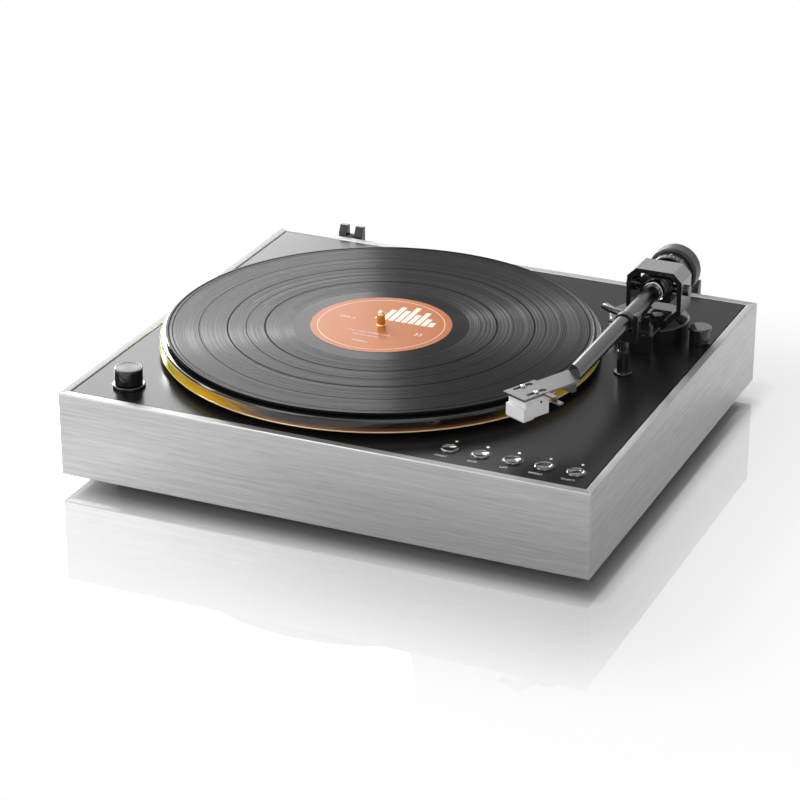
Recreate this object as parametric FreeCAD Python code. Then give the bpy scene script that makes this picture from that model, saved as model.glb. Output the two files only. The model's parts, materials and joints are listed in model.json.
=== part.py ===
import FreeCAD, Part
import math
import os

os.makedirs("parts", exist_ok=True)
V = FreeCAD.Vector

# All sizes are in millimetres. X runs to the right, Y to the back and Z up.
# The origin lies on the floor below the middle of the whole turntable.

# Case, whose width and depth follow from the platter and the strips round it
case_h = 61.0
strip_left = 11.5
strip_right = 63.1
strip_front = 9.0
strip_back = 28.6
panel_t = 6.5
outer_bevel = 0.8
inner_bevel = 0.5
corner_bevel = 1.4
foot_h = 10.0
foot_r = 20.0
foot_bevel = 1.5
foot_inset = 42.0
tray_t = 2.5
deck_t = 3.0
deck_drop = 0.5
deck_gap = 0.9
frame_wall = 3.0
frame_post = 9.0
vent_w = 4.0
vent_len = 70.0
vent_pitch = 12.0
vent_count = 5

# Clearances, and how far a cutting solid runs past a face
running = 0.05
slip = 0.2
loose = 0.4
past = 1.0

# Cover hinges
hinge_out = 136.0
hinge_plate_w = 32.0
hinge_plate_h = 20.0
hinge_plate_t = 2.5
hinge_lug_w = 6.0
hinge_pin_r = 2.0
hinge_pin_out = 7.0
hinge_pin_low = 4.5
hinge_eye_r = 5.0
hinge_plate_low = 6.0
hinge_arm_low = 14.0
hinge_relief = 1.2
hinge_prong_w = 6.5
hinge_prong_r = 3.5
hinge_rise = 7.0
hinge_tip = 1.0
hinge_lean = 3.0

# Platter and record, heights above the rim of the case
record_r = 150.8
record_t = 2.0
record_lip = 0.5
record_rim_w = 1.6
record_slope = 1.5
record_sink = 0.3
runout_r = 60.0
label_r = 50.0
label_t = 0.15
label_ledge = 7.0
platter_over = 4.4
platter_t = 9.0
platter_gap = 3.5
platter_bevel = 0.9
mat_in = 4.8
mat_t = 1.5
spindle_r = 3.6
spindle_rise = 10.0
spindle_nose = 3.0
hub_r = 36.0
hub_clear = 3.0
sub_r = 65.0
sub_t = 12.0
sub_gap = 2.0
shaft_r = 5.0
shaft_len = 30.0
bearing_r = 11.0
bearing_gap = 1.0
bearing_flange_r = 30.0
bearing_flange_t = 4.0
ball_floor = 3.0

# Platter motor and belt
motor_angle = 135.0
motor_out = 108.0
motor_r = 17.0
motor_h = 26.0
motor_low = 4.0
motor_plate_r = 24.0
motor_plate_t = 2.0
motor_leg_r = 3.0
motor_leg_in = 3.5
motor_shaft_r = 1.5
motor_shaft_len = 7.0
pulley_r = 6.5
pulley_lip = 1.2
pulley_wall = 1.0
belt_w = 5.0
belt_t = 0.8
belt_side = 1.0

# Buttons
button_count = 5
button_right_in = 20.6
button_y_in = 26.8
button_pitch = 21.9
button_r = 6.3
button_rise = 1.2
button_dish = 0.7
button_travel = 0.8
button_edge = 0.5
button_rim = 1.3
button_stem_r = 2.0
ring_inner_r = 6.6
ring_outer_r = 7.4
ring_rise = 0.2
carrier_t = 3.0
carrier_margin = 1.5
carrier_front = 6.9
carrier_back = 4.4
carrier_leg_r = 2.2
button_lip_r = 7.6
button_lip_t = 1.0
board_t = 1.6
board_drop = 12.0
board_front = 6.3
board_back = 19.2
switch_w = 6.0
switch_h = 3.5
plunger_r = 1.5
plunger_h = 0.8
lamp_off = 12.4
lamp_r = 1.0

# Selector knob
knob_x_in = 38.3
knob_y_in = 31.0
knob_r = 9.7
knob_h = 13.5
knob_flange_r = 11.4
knob_flange_h = 2.4
knob_cap_r = 8.9
knob_cap_t = 1.2
knob_cap_rise = 0.3
knob_edge = 0.5
knob_lift = 0.3
knob_shaft_r = 3.0
knob_shaft_len = 14.0
knob_neck_r = 5.0
switch_body_w = 17.0
switch_body_h = 11.0
switch_floor = 1.0

# Tonearm, heights above the rim of the case
arm_side = 15.7
arm_back_in = 58.6
arm_z = 37.5
tube_r = 5.7
tube_wall = 1.0
tube_short = 43.0
tube_rear = 7.5
tube_plug = 6.0
frame_w = 40.4
frame_d = 21.5
frame_up = 15.2
frame_down = 26.0
frame_chamfer_top = 6.4
frame_chamfer_low = 11.4
frame_sheet = 3.2
frame_floor = 4.5
frame_floor_in = 2.0
boss_r = 5.5
boss_t = 2.2
pivot_r = 3.0
pivot_tip_r = 1.4
pivot_tip_len = 3.0
pivot_head_r = 4.0
pivot_head_t = 2.8
block_w = 24.0
block_d = 13.0
block_up = 8.5
block_down = 9.5
block_chamfer = 2.0
bell_r = 8.2
bell_nose_r = 7.0
bell_len = 5.5
bell_web = 1.0
stub_r = 4.5
stub_rear = 48.0

# Counterweight
weight_r = 17.8
weight_t = 14.0
weight_front = 27.5
weight_bevel = 1.6
dial_r = 15.0
dial_t = 8.0
dial_bevel = 0.8
dial_gap = 0.3

# Headshell and cartridge
offset_deg = 25.5
mitre_deg = 43.0
overhang = 15.9
stylus_out = 22.5
stylus_ahead = 9.5
screw_pitch = 12.7
plate_top = 36.5
plate_t = 1.6
plate_front = 14.2
plate_step = 13.6
plate_rear = 38.8
plate_inner = 9.6
plate_inner_rear = 7.2
plate_outer = 10.4
plate_skew = 2.7
slot_r = 1.8
slot_half = 6.4
slot_shift = -0.4
lift_tab_w = 4.2
lift_tab_at = 5.2
lift_tab_in = 7.7
lift_tab_out = 14.0
lift_tab_t = 1.3
lift_tab_drop = 2.6
lift_tab_step = 1.4
mount_w = 10.0
mount_drop = 9.0
mount_start = 1.0
mount_len = 16.0
mount_flat = 4.0
mount_nose = 1.5
cart_w = 16.2
cart_rear = 10.0
cart_h = 14.8
cart_brow = 6.5
cart_brow_in = 2.0
guard_rear = 3.4
guard_front = 12.6
guard_w = 17.0
guard_round = 2.2
stylus_room = 4.0
stylus_room_h = 3.0
stylus_r = 0.6
stylus_point_r = 0.05
stylus_drop = 0.8
tip_rise = 1.5
screw_r = 1.2
screw_head_r = 2.2
screw_head_t = 1.5
screw_depth = 6.0
cart_pin_r = 0.6
cart_pin_len = 4.0
cart_pin_side = 3.6
cart_pin_levels = (4.0, 8.5)

# Arm base, lift and rest
disc_side = 8.2
disc_back = 6.9
disc_r = 28.4
disc_h = 11.0
disc_bevel = 0.9
base_left = 16.1
base_right = 7.8
base_ahead = 35.2
base_h = 14.0
base_chamfer = 0.6
tower_left = 8.2
tower_right = 4.2
tower_ahead = 30.5
tower_d = 9.1
tower_h = 25.0
swing_r = 18.0
swing_gap = 3.0
column_r = 4.0
washer_r = 7.0
sleeve_r = 9.0
sleeve_flange_r = 15.5
sleeve_flange_t = 3.0
sleeve_len = 24.0
sleeve_gap = 0.5
lift_side = 3.5
lift_ahead = 25.4
lift_rod_r = 2.0
lift_rod_in = 22.0
lift_eye_r = 2.6
lift_arc_r = 42.5
lift_arc_w = 6.0
lift_arc_t = 3.2
lift_crown_r = 4.0
lift_arc_from = 7.0
lift_arc_to = 42.0
lift_gap = 0.03
coil_r = 9.0
coil_len = 26.0
coil_drop = 9.0
coil_floor = 2.0
yoke_t = 4.0
rest_ahead = 71.8
rest_r = 4.3
rest_foot_r = 6.4
rest_foot_h = 1.6
rest_foot_bevel = 0.6
rest_w = 6.4
rest_clear = 0.55
rest_neck = 24.0
rest_left = 8.0
rest_groove_at = 5.5
rest_groove_w = 2.0
rest_groove_t = 0.7
prong_t = 3.4
prong_up = 7.6
prong_chamfer = 0.8
clip_t = 1.2
clip_w = 5.0
clip_low = 1.4
clip_lug = 4.5
clip_lug_t = 1.6
skate_side = 31.8
skate_back = -0.2
skate_r = 8.2
skate_body_r = 7.3
skate_h = 12.0
skate_top_t = 2.6
skate_edge = 0.5
skate_lift = 0.1
skate_shaft_r = 3.0
skate_shaft_low = 9.0

# Arm drive
gear_module = 1.0
gear_angle = 20.0
sector_teeth = 48
pinion_teeth = 12
gear_t = 5.0
gear_backlash = 0.14
gear_foot = 1.25
sector_head = 0.75
pinion_head = 1.0
pinion_side = 0.5
sector_hub_r = 9.0
sector_before = 14.0
sector_after = 56.0
drive_w = 26.0
drive_gap = 1.5
drive_shaft_r = 1.5
drive_shaft_in = 8.0
drive_floor = 0.5

# Rear sockets
socket_x = -62.0
socket_w = 104.0
socket_h = 26.0
socket_t = 1.6
socket_drop = 30.0
window_w = 92.0
window_h = 18.0
jack_r = 4.15
jack_hole_r = 1.6
jack_hole_len = 8.0
jack_root = 5.0
jack_root_r = 3.2
jack_len = 9.0
jack_pitch = 18.0
jack_first = -26.0
post_r = 3.5
post_stem_r = 2.0
post_gap = 1.0
inlet_at = 34.0
inlet_outer_r = 5.6
inlet_proud = 0.8
inlet_r = 2.75
inlet_pin_r = 1.0
inlet_pin_short = 1.3
inlet_len = 8.0

# Places worked out from the sizes above
platter_r = record_r + platter_over
mat_r = record_r - mat_in
case_w = strip_left + 2 * platter_r + strip_right
case_d = strip_front + 2 * platter_r + strip_back
hinge_reach = hinge_pin_out + hinge_eye_r
front_y = -(case_d + hinge_reach) / 2
rear_y = front_y + case_d
left_x = -case_w / 2
right_x = case_w / 2
top_z = foot_h + case_h
deck_z = top_z - deck_drop
under_z = deck_z - deck_t
tray_z = foot_h + tray_t

platter_x = left_x + strip_left + platter_r
platter_y = front_y + strip_front + platter_r
platter_z = top_z + platter_gap
mat_z = platter_z + platter_t
record_z = mat_z + mat_t
record_top = record_z + record_t
sub_top = under_z - sub_gap
sub_z = sub_top - sub_t
belt_mid = sub_z + sub_t / 2
belt_z0 = belt_mid - belt_w / 2
belt_z1 = belt_mid + belt_w / 2

motor_x = platter_x + motor_out * math.cos(math.radians(motor_angle))
motor_y = platter_y + motor_out * math.sin(math.radians(motor_angle))
motor_top = sub_z - motor_low

button_last_x = right_x - button_right_in
button_first_x = button_last_x - (button_count - 1) * button_pitch
button_y = front_y + button_y_in
knob_x = left_x + knob_x_in
knob_y = front_y + knob_y_in

arm_x = platter_x + platter_r + arm_side
arm_y = platter_y + platter_r - arm_back_in
axis_z = top_z + arm_z
tube_y = arm_y - tube_rear
ring_low = axis_z - frame_down
ring_top = axis_z + frame_up
disc_x = arm_x - disc_side
disc_y = arm_y + disc_back
disc_z = top_z + disc_h
lift_x = arm_x - lift_side
lift_y = arm_y - lift_ahead
lift_z = axis_z - tube_r - lift_gap
coil_z1 = under_z - coil_drop
coil_z0 = coil_z1 - coil_len
rest_y = arm_y - rest_ahead
skate_x = arm_x + skate_side
skate_y = arm_y + skate_back

gear_z = under_z - sleeve_len - gear_t
gear_reach = gear_module * (sector_teeth + pinion_teeth) / 2
pinion_x = arm_x
pinion_y = arm_y + gear_reach
drive_top = gear_z - drive_gap

socket_z = top_z - socket_drop

# The cartridge sits on a line turned inwards from the tube
stylus_reach = math.hypot(arm_x - platter_x, arm_y - platter_y) + overhang
tip_x = arm_x - stylus_out
tip_y = arm_y - math.sqrt(stylus_reach ** 2 - stylus_out ** 2)
tip_z = record_top + tip_rise
nose_z = tip_z + stylus_drop
along = V(-math.sin(math.radians(offset_deg)), -math.cos(math.radians(offset_deg)), 0)
across = V(math.cos(math.radians(offset_deg)), -math.sin(math.radians(offset_deg)), 0)
shell_mid = V(tip_x, tip_y, 0) - along * stylus_ahead
plate_z = top_z + plate_top - plate_t
tube_end_y = tip_y + tube_short


def box(x0, x1, y0, y1, z0, z1):
    """A box between two corners."""
    return Part.makeBox(x1 - x0, y1 - y0, z1 - z0, V(x0, y0, z0))


def rod(x, y, z0, z1, r):
    """An upright cylinder."""
    return Part.makeCylinder(r, z1 - z0, V(x, y, z0), V(0, 0, 1))


def rod_x(x0, x1, y, z, r):
    """A cylinder along X."""
    return Part.makeCylinder(r, x1 - x0, V(x0, y, z), V(1, 0, 0))


def rod_y(x, y0, y1, z, r):
    """A cylinder along Y."""
    return Part.makeCylinder(r, y1 - y0, V(x, y0, z), V(0, 1, 0))


def prism(points, z0, z1):
    """An upright prism over a closed outline of X, Y points."""
    wire = Part.makePolygon([V(x, y, z0) for x, y in points + points[:1]])
    return Part.Face(wire).extrude(V(0, 0, z1 - z0))


def turned(x, y, profile):
    """A solid turned about an upright axis from radius, height points."""
    points = [V(x + r, y, z) for r, z in profile + profile[:1]]
    return Part.Face(Part.makePolygon(points)).revolve(V(x, y, 0), V(0, 0, 1), 360)


def turned_y(x, z, profile):
    """A solid turned about an axis along Y from radius, Y points."""
    points = [V(x + r, y, z) for r, y in profile + profile[:1]]
    return Part.Face(Part.makePolygon(points)).revolve(V(x, 0, z), V(0, 1, 0), 360)


def shell_point(forward, side, z=0.0):
    """A point measured from the middle of the cartridge screws."""
    p = shell_mid + along * forward + across * side
    return V(p.x, p.y, z)


def shell_box(back, front, inner, outer, z0, z1):
    """A box turned with the headshell."""
    corners = [(back, inner), (back, outer), (front, outer), (front, inner)]
    outline = [(shell_point(f, s).x, shell_point(f, s).y) for f, s in corners]
    return prism(outline, z0, z1)


def save(name, shape):
    """Write one piece as its own file."""
    shape.removeSplitter().exportStep("parts/" + name + ".step")


def panel(length):
    """One side of the case, mitred at both ends, outer face at Y 0."""
    t, b, c = panel_t, outer_bevel, inner_bevel
    profile = [(0, b), (b, 0), (t, 0), (t, case_h - c), (t - c, case_h), (b, case_h), (0, case_h - b)]
    face = Part.Face(Part.makePolygon([V(0, y, z) for y, z in profile + profile[:1]]))
    bar = face.extrude(V(length, 0, 0))
    k = corner_bevel
    plan = [(k, 0), (length - k, 0), (length - k / 2, k / 2), (length - t, t), (t, t), (k / 2, k / 2)]
    return bar.common(prism(plan, 0, case_h))


def placed(shape, x, y, z, turn):
    """Turn a shape about Z at the origin, then move it."""
    out = shape.copy()
    out.rotate(V(0, 0, 0), V(0, 0, 1), turn)
    out.translate(V(x, y, z))
    return out


def case_panels():
    save("front_panel", placed(panel(case_w), left_x, front_y, foot_h, 0))
    save("right_panel", placed(panel(case_d), right_x, front_y, foot_h, 90))
    save("left_panel", placed(panel(case_d), left_x, rear_y, foot_h, -90))
    rear = placed(panel(case_w), right_x, rear_y, foot_h, 180)
    save("rear_panel", rear.cut(socket_window(0)))


def socket_window(room):
    """The opening that the rear sockets sit in, smaller by the given room."""
    w, h = window_w / 2 - room, window_h / 2 - room
    inner_y = rear_y - panel_t - frame_wall
    return box(socket_x - w, socket_x + w, inner_y, rear_y, socket_z - h, socket_z + h)


def deck_plate():
    inset = panel_t + deck_gap
    plate = box(left_x + inset, right_x - inset, front_y + inset, rear_y - inset, under_z, deck_z)
    holes = [rod(platter_x, platter_y, under_z - past, deck_z + past, hub_r + hub_clear),
             rod(knob_x, knob_y, under_z - past, deck_z + past, knob_neck_r + slip),
             rod(arm_x, arm_y, under_z - past, deck_z + past, sleeve_r + slip),
             rod(lift_x, lift_y, under_z - past, deck_z + past, lift_rod_r + loose),
             rod(skate_x, skate_y, under_z - past, deck_z + past, skate_shaft_r + running)]
    for i in range(button_count):
        x = button_first_x + i * button_pitch
        holes.append(rod(x, button_y, under_z - past, deck_z + past, ring_outer_r + slip))
        holes.append(rod(x, button_y + lamp_off, under_z - past, deck_z + past, lamp_r + slip))
    for hole in holes:
        plate = plate.cut(hole)
    save("deck_plate", plate)


def chassis_frame():
    """The inner frame that the panels clad and the deck rests on."""
    t = panel_t
    outer = box(left_x + t, right_x - t, front_y + t, rear_y - t, tray_z, under_z)
    w = panel_t + frame_wall
    inner = box(left_x + w, right_x - w, front_y + w, rear_y - w, tray_z - past, under_z + past)
    frame = outer.cut(inner)
    for x in (left_x + w, right_x - w - frame_post):
        for y in (front_y + w, rear_y - w - frame_post):
            frame = frame.fuse(box(x, x + frame_post, y, y + frame_post, tray_z, under_z))
    save("chassis_frame", frame.cut(socket_window(0)))


def bottom_tray():
    t = panel_t + slip
    tray = box(left_x + t, right_x - t, front_y + t, rear_y - t, foot_h, tray_z)
    for i in range(vent_count):
        y = platter_y + (i - (vent_count - 1) / 2) * vent_pitch
        tray = tray.cut(box(-vent_len / 2, vent_len / 2, y - vent_w / 2, y + vent_w / 2, 0, top_z))
    save("bottom_tray", tray)


def feet():
    sides = {"l": left_x + foot_inset, "r": right_x - foot_inset}
    ends = {"f": front_y + foot_inset, "b": rear_y - foot_inset}
    b = foot_bevel
    profile = [(0, 0), (foot_r - b, 0), (foot_r, b), (foot_r, foot_h), (0, foot_h)]
    for end, y in ends.items():
        for side, x in sides.items():
            save("foot_" + end + side, turned(x, y, profile))


def platter_parts():
    low = sub_z - shaft_len
    bore = shaft_r + running
    body = rod(platter_x, platter_y, low - ball_floor, sub_z - bearing_gap, bearing_r)
    body = body.cut(rod(platter_x, platter_y, low, sub_z, bore))
    foot = rod(platter_x, platter_y, tray_z, tray_z + bearing_flange_t, bearing_flange_r)
    stand = rod(platter_x, platter_y, tray_z, low - ball_floor, bearing_r)
    save("platter_bearing", body.fuse([foot, stand]))

    sub = rod(platter_x, platter_y, sub_z, sub_top, sub_r)
    hub = rod(platter_x, platter_y, sub_top, platter_z, hub_r)
    shaft = rod(platter_x, platter_y, low, sub_z, shaft_r)
    tip = record_top + spindle_rise
    crown = [(0, platter_z), (spindle_r, platter_z), (spindle_r, tip - spindle_nose),
             (spindle_r * 0.8, tip - spindle_nose * 0.4), (spindle_r * 0.35, tip), (0, tip)]
    save("sub_platter", sub.fuse([hub, shaft, turned(platter_x, platter_y, crown)]))

    b = platter_bevel
    hole = spindle_r + running
    z0, z1 = platter_z, mat_z
    rim = [(hole, z0), (platter_r - b, z0), (platter_r, z0 + b), (platter_r, z1 - b),
           (platter_r - b, z1), (hole, z1)]
    save("platter", turned(platter_x, platter_y, rim))
    mat = rod(platter_x, platter_y, mat_z, record_z, mat_r)
    save("platter_mat", mat.cut(rod(platter_x, platter_y, mat_z - past, record_z + past, hole)))

    z0, z1 = record_z, record_top
    bead, low_z = record_r - record_rim_w, record_top - record_sink
    lip = record_lip
    disc = [(hole, z0), (record_r - lip, z0), (record_r, z0 + lip), (record_r, z1 - lip),
            (record_r - lip, z1), (bead, z1), (bead - record_slope, low_z), (runout_r, low_z),
            (runout_r - label_ledge, z1 - label_t), (hole, z1 - label_t)]
    save("record_disc", turned(platter_x, platter_y, disc))
    label = rod(platter_x, platter_y, z1 - label_t, z1, label_r)
    save("record_label", label.cut(rod(platter_x, platter_y, z0, z1 + past, hole)))


def belt_loop(grow):
    """The space inside a belt round the two wheels, grown outwards."""
    r1, r2 = sub_r + grow, pulley_r + grow
    lean = math.acos((r1 - r2) / motor_out)
    base = math.radians(motor_angle)
    quad = []
    for sign, first in ((1, True), (-1, False)):
        a = base + sign * lean
        near = (platter_x + r1 * math.cos(a), platter_y + r1 * math.sin(a))
        far = (motor_x + r2 * math.cos(a), motor_y + r2 * math.sin(a))
        quad += [near, far] if first else [far, near]
    wide = rod(platter_x, platter_y, belt_z0, belt_z1, r1)
    small = rod(motor_x, motor_y, belt_z0, belt_z1, r2)
    return prism(quad, belt_z0, belt_z1).fuse([wide, small])


def drive_parts():
    can = rod(motor_x, motor_y, motor_top - motor_h, motor_top, motor_r)
    plate = rod(motor_x, motor_y, motor_top - motor_plate_t, motor_top, motor_plate_r)
    legs = []
    for k in range(3):
        a = math.radians(90 + 120 * k)
        x = motor_x + (motor_plate_r - motor_leg_in) * math.cos(a)
        y = motor_y + (motor_plate_r - motor_leg_in) * math.sin(a)
        legs.append(rod(x, y, tray_z, motor_top - motor_plate_t, motor_leg_r))
    low = motor_top - motor_shaft_len
    bore = rod(motor_x, motor_y, low - slip, motor_top + past, motor_shaft_r + running)
    save("motor", can.fuse([plate] + legs).cut(bore))

    z0, z1 = belt_z0 - belt_side, belt_z1 + belt_side
    lip = pulley_r + pulley_lip
    wheel = [(0, low), (motor_shaft_r, low), (motor_shaft_r, z0 - pulley_wall), (lip, z0 - pulley_wall),
             (lip, z0), (pulley_r, z0), (pulley_r, z1), (lip, z1), (lip, z1 + pulley_wall),
             (0, z1 + pulley_wall)]
    save("motor_pulley", turned(motor_x, motor_y, wheel))
    save("belt", belt_loop(slip + belt_t).cut(belt_loop(slip)))


def button_cap(x, plunger_top):
    """A dished cap on a stem, with a lip below that keeps it in its carrier."""
    top = deck_z + button_rise
    floor = under_z - carrier_t - running
    lip = floor - button_lip_t
    stem_low = plunger_top + button_travel + running
    edge = button_r - button_edge
    profile = [(0, stem_low), (button_stem_r, stem_low), (button_stem_r, lip), (button_lip_r, lip),
               (button_lip_r, floor), (button_r, floor), (button_r, top - button_edge), (edge, top),
               (button_r - button_rim, top), (button_r / 2, top - button_dish * 0.8),
               (0, top - button_dish)]
    return turned(x, button_y, profile)


def buttons():
    reach = ring_outer_r + carrier_margin
    x0, x1 = button_first_x - reach, button_last_x + reach
    strip = box(x0, x1, button_y - carrier_front, button_y + carrier_back, under_z - carrier_t, under_z)
    board_top = under_z - board_drop
    board = box(x0, x1, button_y - board_front, button_y + board_back, board_top - board_t, board_top)
    switch_top = board_top + switch_h
    h = switch_w / 2
    for i in range(button_count):
        x = button_first_x + i * button_pitch
        strip = strip.fuse(rod(x, button_y, under_z - carrier_t, deck_z + ring_rise, ring_outer_r))
        strip = strip.cut(rod(x, button_y, under_z - carrier_t - past, deck_z + past, ring_inner_r))
        board = board.fuse(box(x - h, x + h, button_y - h, button_y + h, board_top, switch_top))
        board = board.fuse(rod(x, button_y, switch_top, switch_top + plunger_h, plunger_r))
        board = board.fuse(rod(x, button_y + lamp_off, board_top, deck_z, lamp_r))
        save("button_" + str(i + 1), button_cap(x, switch_top + plunger_h))
    for i in range(button_count - 1):
        x = button_first_x + (i + 0.5) * button_pitch
        strip = strip.fuse(rod(x, button_y, board_top, under_z, carrier_leg_r))
    save("button_carrier", strip)
    save("control_board", board)


def selector():
    h = switch_body_w / 2
    low = under_z - switch_body_h
    body = box(knob_x - h, knob_x + h, knob_y - h, knob_y + h, low, under_z)
    neck = rod(knob_x, knob_y, under_z, deck_z, knob_neck_r)
    b = knob_edge
    z0, z1 = deck_z, deck_z + knob_flange_h
    outline = [(0, z0), (knob_flange_r, z0), (knob_flange_r, z1 - b), (knob_flange_r - b, z1), (0, z1)]
    bore = rod(knob_x, knob_y, low + switch_floor, z1 + past, knob_shaft_r + running)
    save("selector_switch", body.fuse([neck, turned(knob_x, knob_y, outline)]).cut(bore))

    z0, z1 = z1 + knob_lift, top_z + knob_h
    r, c = knob_r, knob_cap_r
    well = z1 - knob_cap_t + knob_cap_rise
    knob = [(0, z1 - knob_shaft_len), (knob_shaft_r, z1 - knob_shaft_len), (knob_shaft_r, z0), (r - b, z0),
            (r, z0 + b), (r, z1 - b), (r - b, z1), (c, z1), (c, well), (0, well)]
    save("selector_knob", turned(knob_x, knob_y, knob))
    top = z1 + knob_cap_rise
    cap = [(0, well), (c, well), (c, z1), (c - knob_cap_rise, top), (0, top)]
    save("selector_cap", turned(knob_x, knob_y, cap))


def ring_outline(grow):
    """The outline of the pivot frame in X and Z, grown inwards when negative."""
    h = frame_w / 2 + grow
    z0, z1 = ring_low - grow, ring_top + grow
    cut = grow * (2 - math.sqrt(2))
    a = frame_chamfer_top + cut * 0.5
    b = frame_chamfer_low + cut * 0.5
    pts = [(-h + b, z0), (h - b, z0), (h, z0 + b), (h, z1 - a), (h - a, z1),
           (-h + a, z1), (-h, z1 - a), (-h, z0 + b)]
    return [(arm_x + x, z) for x, z in pts]


def ring_prism(grow, y0, y1):
    points = [V(x, y0, z) for x, z in ring_outline(grow)]
    return Part.Face(Part.makePolygon(points + points[:1])).extrude(V(0, y1 - y0, 0))


def pivot_frame():
    """The frame that turns with the arm and carries the two pivot screws."""
    y0, y1 = arm_y - frame_d / 2, arm_y + frame_d / 2
    ring = ring_prism(0, y0, y1).cut(ring_prism(-frame_sheet, y0 - past, y1 + past))
    floor = ring_low + frame_floor
    half = frame_w / 2 - frame_chamfer_low
    y0, y1 = y0 + frame_floor_in, y1 - frame_floor_in
    ring = ring.fuse(box(arm_x - half, arm_x + half, y0, y1, ring_low, floor))
    inner = frame_w / 2 - frame_sheet
    for sign in (-1, 1):
        x0, x1 = sorted((arm_x + sign * (inner - boss_t), arm_x + sign * inner))
        ring = ring.fuse(rod_x(x0, x1, arm_y, axis_z, boss_r))
    ring = ring.cut(rod_x(arm_x - frame_w, arm_x + frame_w, arm_y, axis_z, pivot_r))
    ring = ring.cut(rod(arm_x, arm_y, ring_low - past, floor + past, column_r))
    save("gimbal_frame", ring)

    tip_end = block_w / 2 - pivot_tip_len + slip
    for name, sign in (("pivot_screw_l", -1), ("pivot_screw_r", 1)):
        start = block_w / 2 + slip
        wall = frame_w / 2
        x0, x1 = sorted((arm_x + sign * start, arm_x + sign * wall))
        screw = rod_x(x0, x1, arm_y, axis_z, pivot_r)
        x0, x1 = sorted((arm_x + sign * wall, arm_x + sign * (wall + pivot_head_t)))
        head = rod_x(x0, x1, arm_y, axis_z, pivot_head_r)
        x0, x1 = sorted((arm_x + sign * tip_end, arm_x + sign * start))
        tip = rod_x(x0, x1, arm_y, axis_z, pivot_tip_r)
        save(name, screw.fuse([head, tip]))

    shaft = rod(arm_x, arm_y, gear_z, floor, column_r)
    start, stop = 90.0 - sector_before, 90.0 + sector_after
    sector = sector_gear(start, stop)
    washer = rod(arm_x, arm_y, disc_z + running, ring_low, washer_r)
    save("arm_shaft", shaft.fuse([sector, washer]))


def tooth_points(teeth, head, centre):
    """One involute tooth about a centre angle, from root to root."""
    rp = gear_module * teeth / 2
    slant = math.radians(gear_angle)
    rb = rp * math.cos(slant)
    ra = rp + gear_module * head
    rr = rp - gear_module * gear_foot
    inv = math.tan(slant) - slant
    half = (math.pi * gear_module / 2 - gear_backlash) / (2 * rp)
    flank = [(rr, half + inv)] if rr < rb else []
    start = max(rb, rr)
    for k in range(7):
        r = start + (ra - start) * k / 6
        a = math.acos(min(1.0, rb / r))
        flank.append((r, half + inv - (math.tan(a) - a)))
    rising = [(r, centre - w) for r, w in flank]
    falling = [(r, centre + w) for r, w in reversed(flank)]
    return rising + falling


def polar(x, y, points):
    return [(x + r * math.cos(a), y + r * math.sin(a)) for r, a in points]


def sector_gear(start, stop):
    pitch = 360.0 / sector_teeth
    rim = []
    for k in range(math.ceil((start - 90) / pitch), math.floor((stop - 90) / pitch) + 1):
        rim += tooth_points(sector_teeth, sector_head, math.radians(90 + k * pitch))
    fan = polar(arm_x, arm_y, rim) + [(arm_x, arm_y)]
    hub = rod(arm_x, arm_y, gear_z, gear_z + gear_t, sector_hub_r)
    return prism(fan, gear_z, gear_z + gear_t).fuse(hub)


def arm_drive():
    pitch = 360.0 / pinion_teeth
    rim = []
    for k in range(pinion_teeth):
        rim += tooth_points(pinion_teeth, pinion_head, math.radians(-90 + (k + 0.5) * pitch))
    wheel_z = gear_z - pinion_side
    wheel = prism(polar(pinion_x, pinion_y, rim), wheel_z, gear_z + gear_t + pinion_side)
    low = drive_top - drive_shaft_in
    shaft = rod(pinion_x, pinion_y, low, wheel_z, drive_shaft_r)
    save("drive_pinion", wheel.fuse(shaft))
    h = drive_w / 2
    body = box(pinion_x - h, pinion_x + h, pinion_y - h, pinion_y + h, tray_z, drive_top)
    bore = rod(pinion_x, pinion_y, low - drive_floor, drive_top + past, drive_shaft_r + running)
    save("arm_motor", body.cut(bore))


def arm_base():
    b = disc_bevel
    disc = [(0, deck_z), (disc_r, deck_z), (disc_r, disc_z - b), (disc_r - b, disc_z), (0, disc_z)]
    base = turned(disc_x, disc_y, disc)
    x0, x1, y0 = arm_x - base_left, arm_x + base_right, arm_y - base_ahead
    block_z = top_z + base_h
    block = box(x0, x1, y0, disc_y, deck_z, block_z)
    edges = [e for e in block.Edges if all(v.Z > top_z for v in e.Vertexes)]
    block = block.makeChamfer(base_chamfer, edges)
    block = block.cut(rod(arm_x, arm_y, disc_z, block_z + past, swing_r))
    room_y = arm_y - frame_d / 2 - swing_gap
    block = block.cut(box(x0 - past, x1 + past, room_y, disc_y + past, disc_z, block_z + past))
    tower_y = arm_y - tower_ahead
    tower_z = top_z + tower_h
    tower = box(arm_x - tower_left, arm_x + tower_right, tower_y, tower_y + tower_d, disc_z, tower_z)
    base = base.fuse([block, tower])
    base = base.cut(rod(arm_x, arm_y, deck_z - past, disc_z + past, column_r + running))
    base = base.cut(rod(lift_x, lift_y, deck_z - past, tower_z + past, lift_rod_r + running))
    save("arm_base", base)

    sleeve = rod(arm_x, arm_y, under_z - sleeve_len + sleeve_gap, deck_z, sleeve_r)
    flange = rod(arm_x, arm_y, under_z - sleeve_flange_t, under_z, sleeve_flange_r)
    bore = rod(arm_x, arm_y, under_z - sleeve_len - past, deck_z + past, column_r + running)
    save("arm_bearing", sleeve.fuse(flange).cut(bore))


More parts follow.
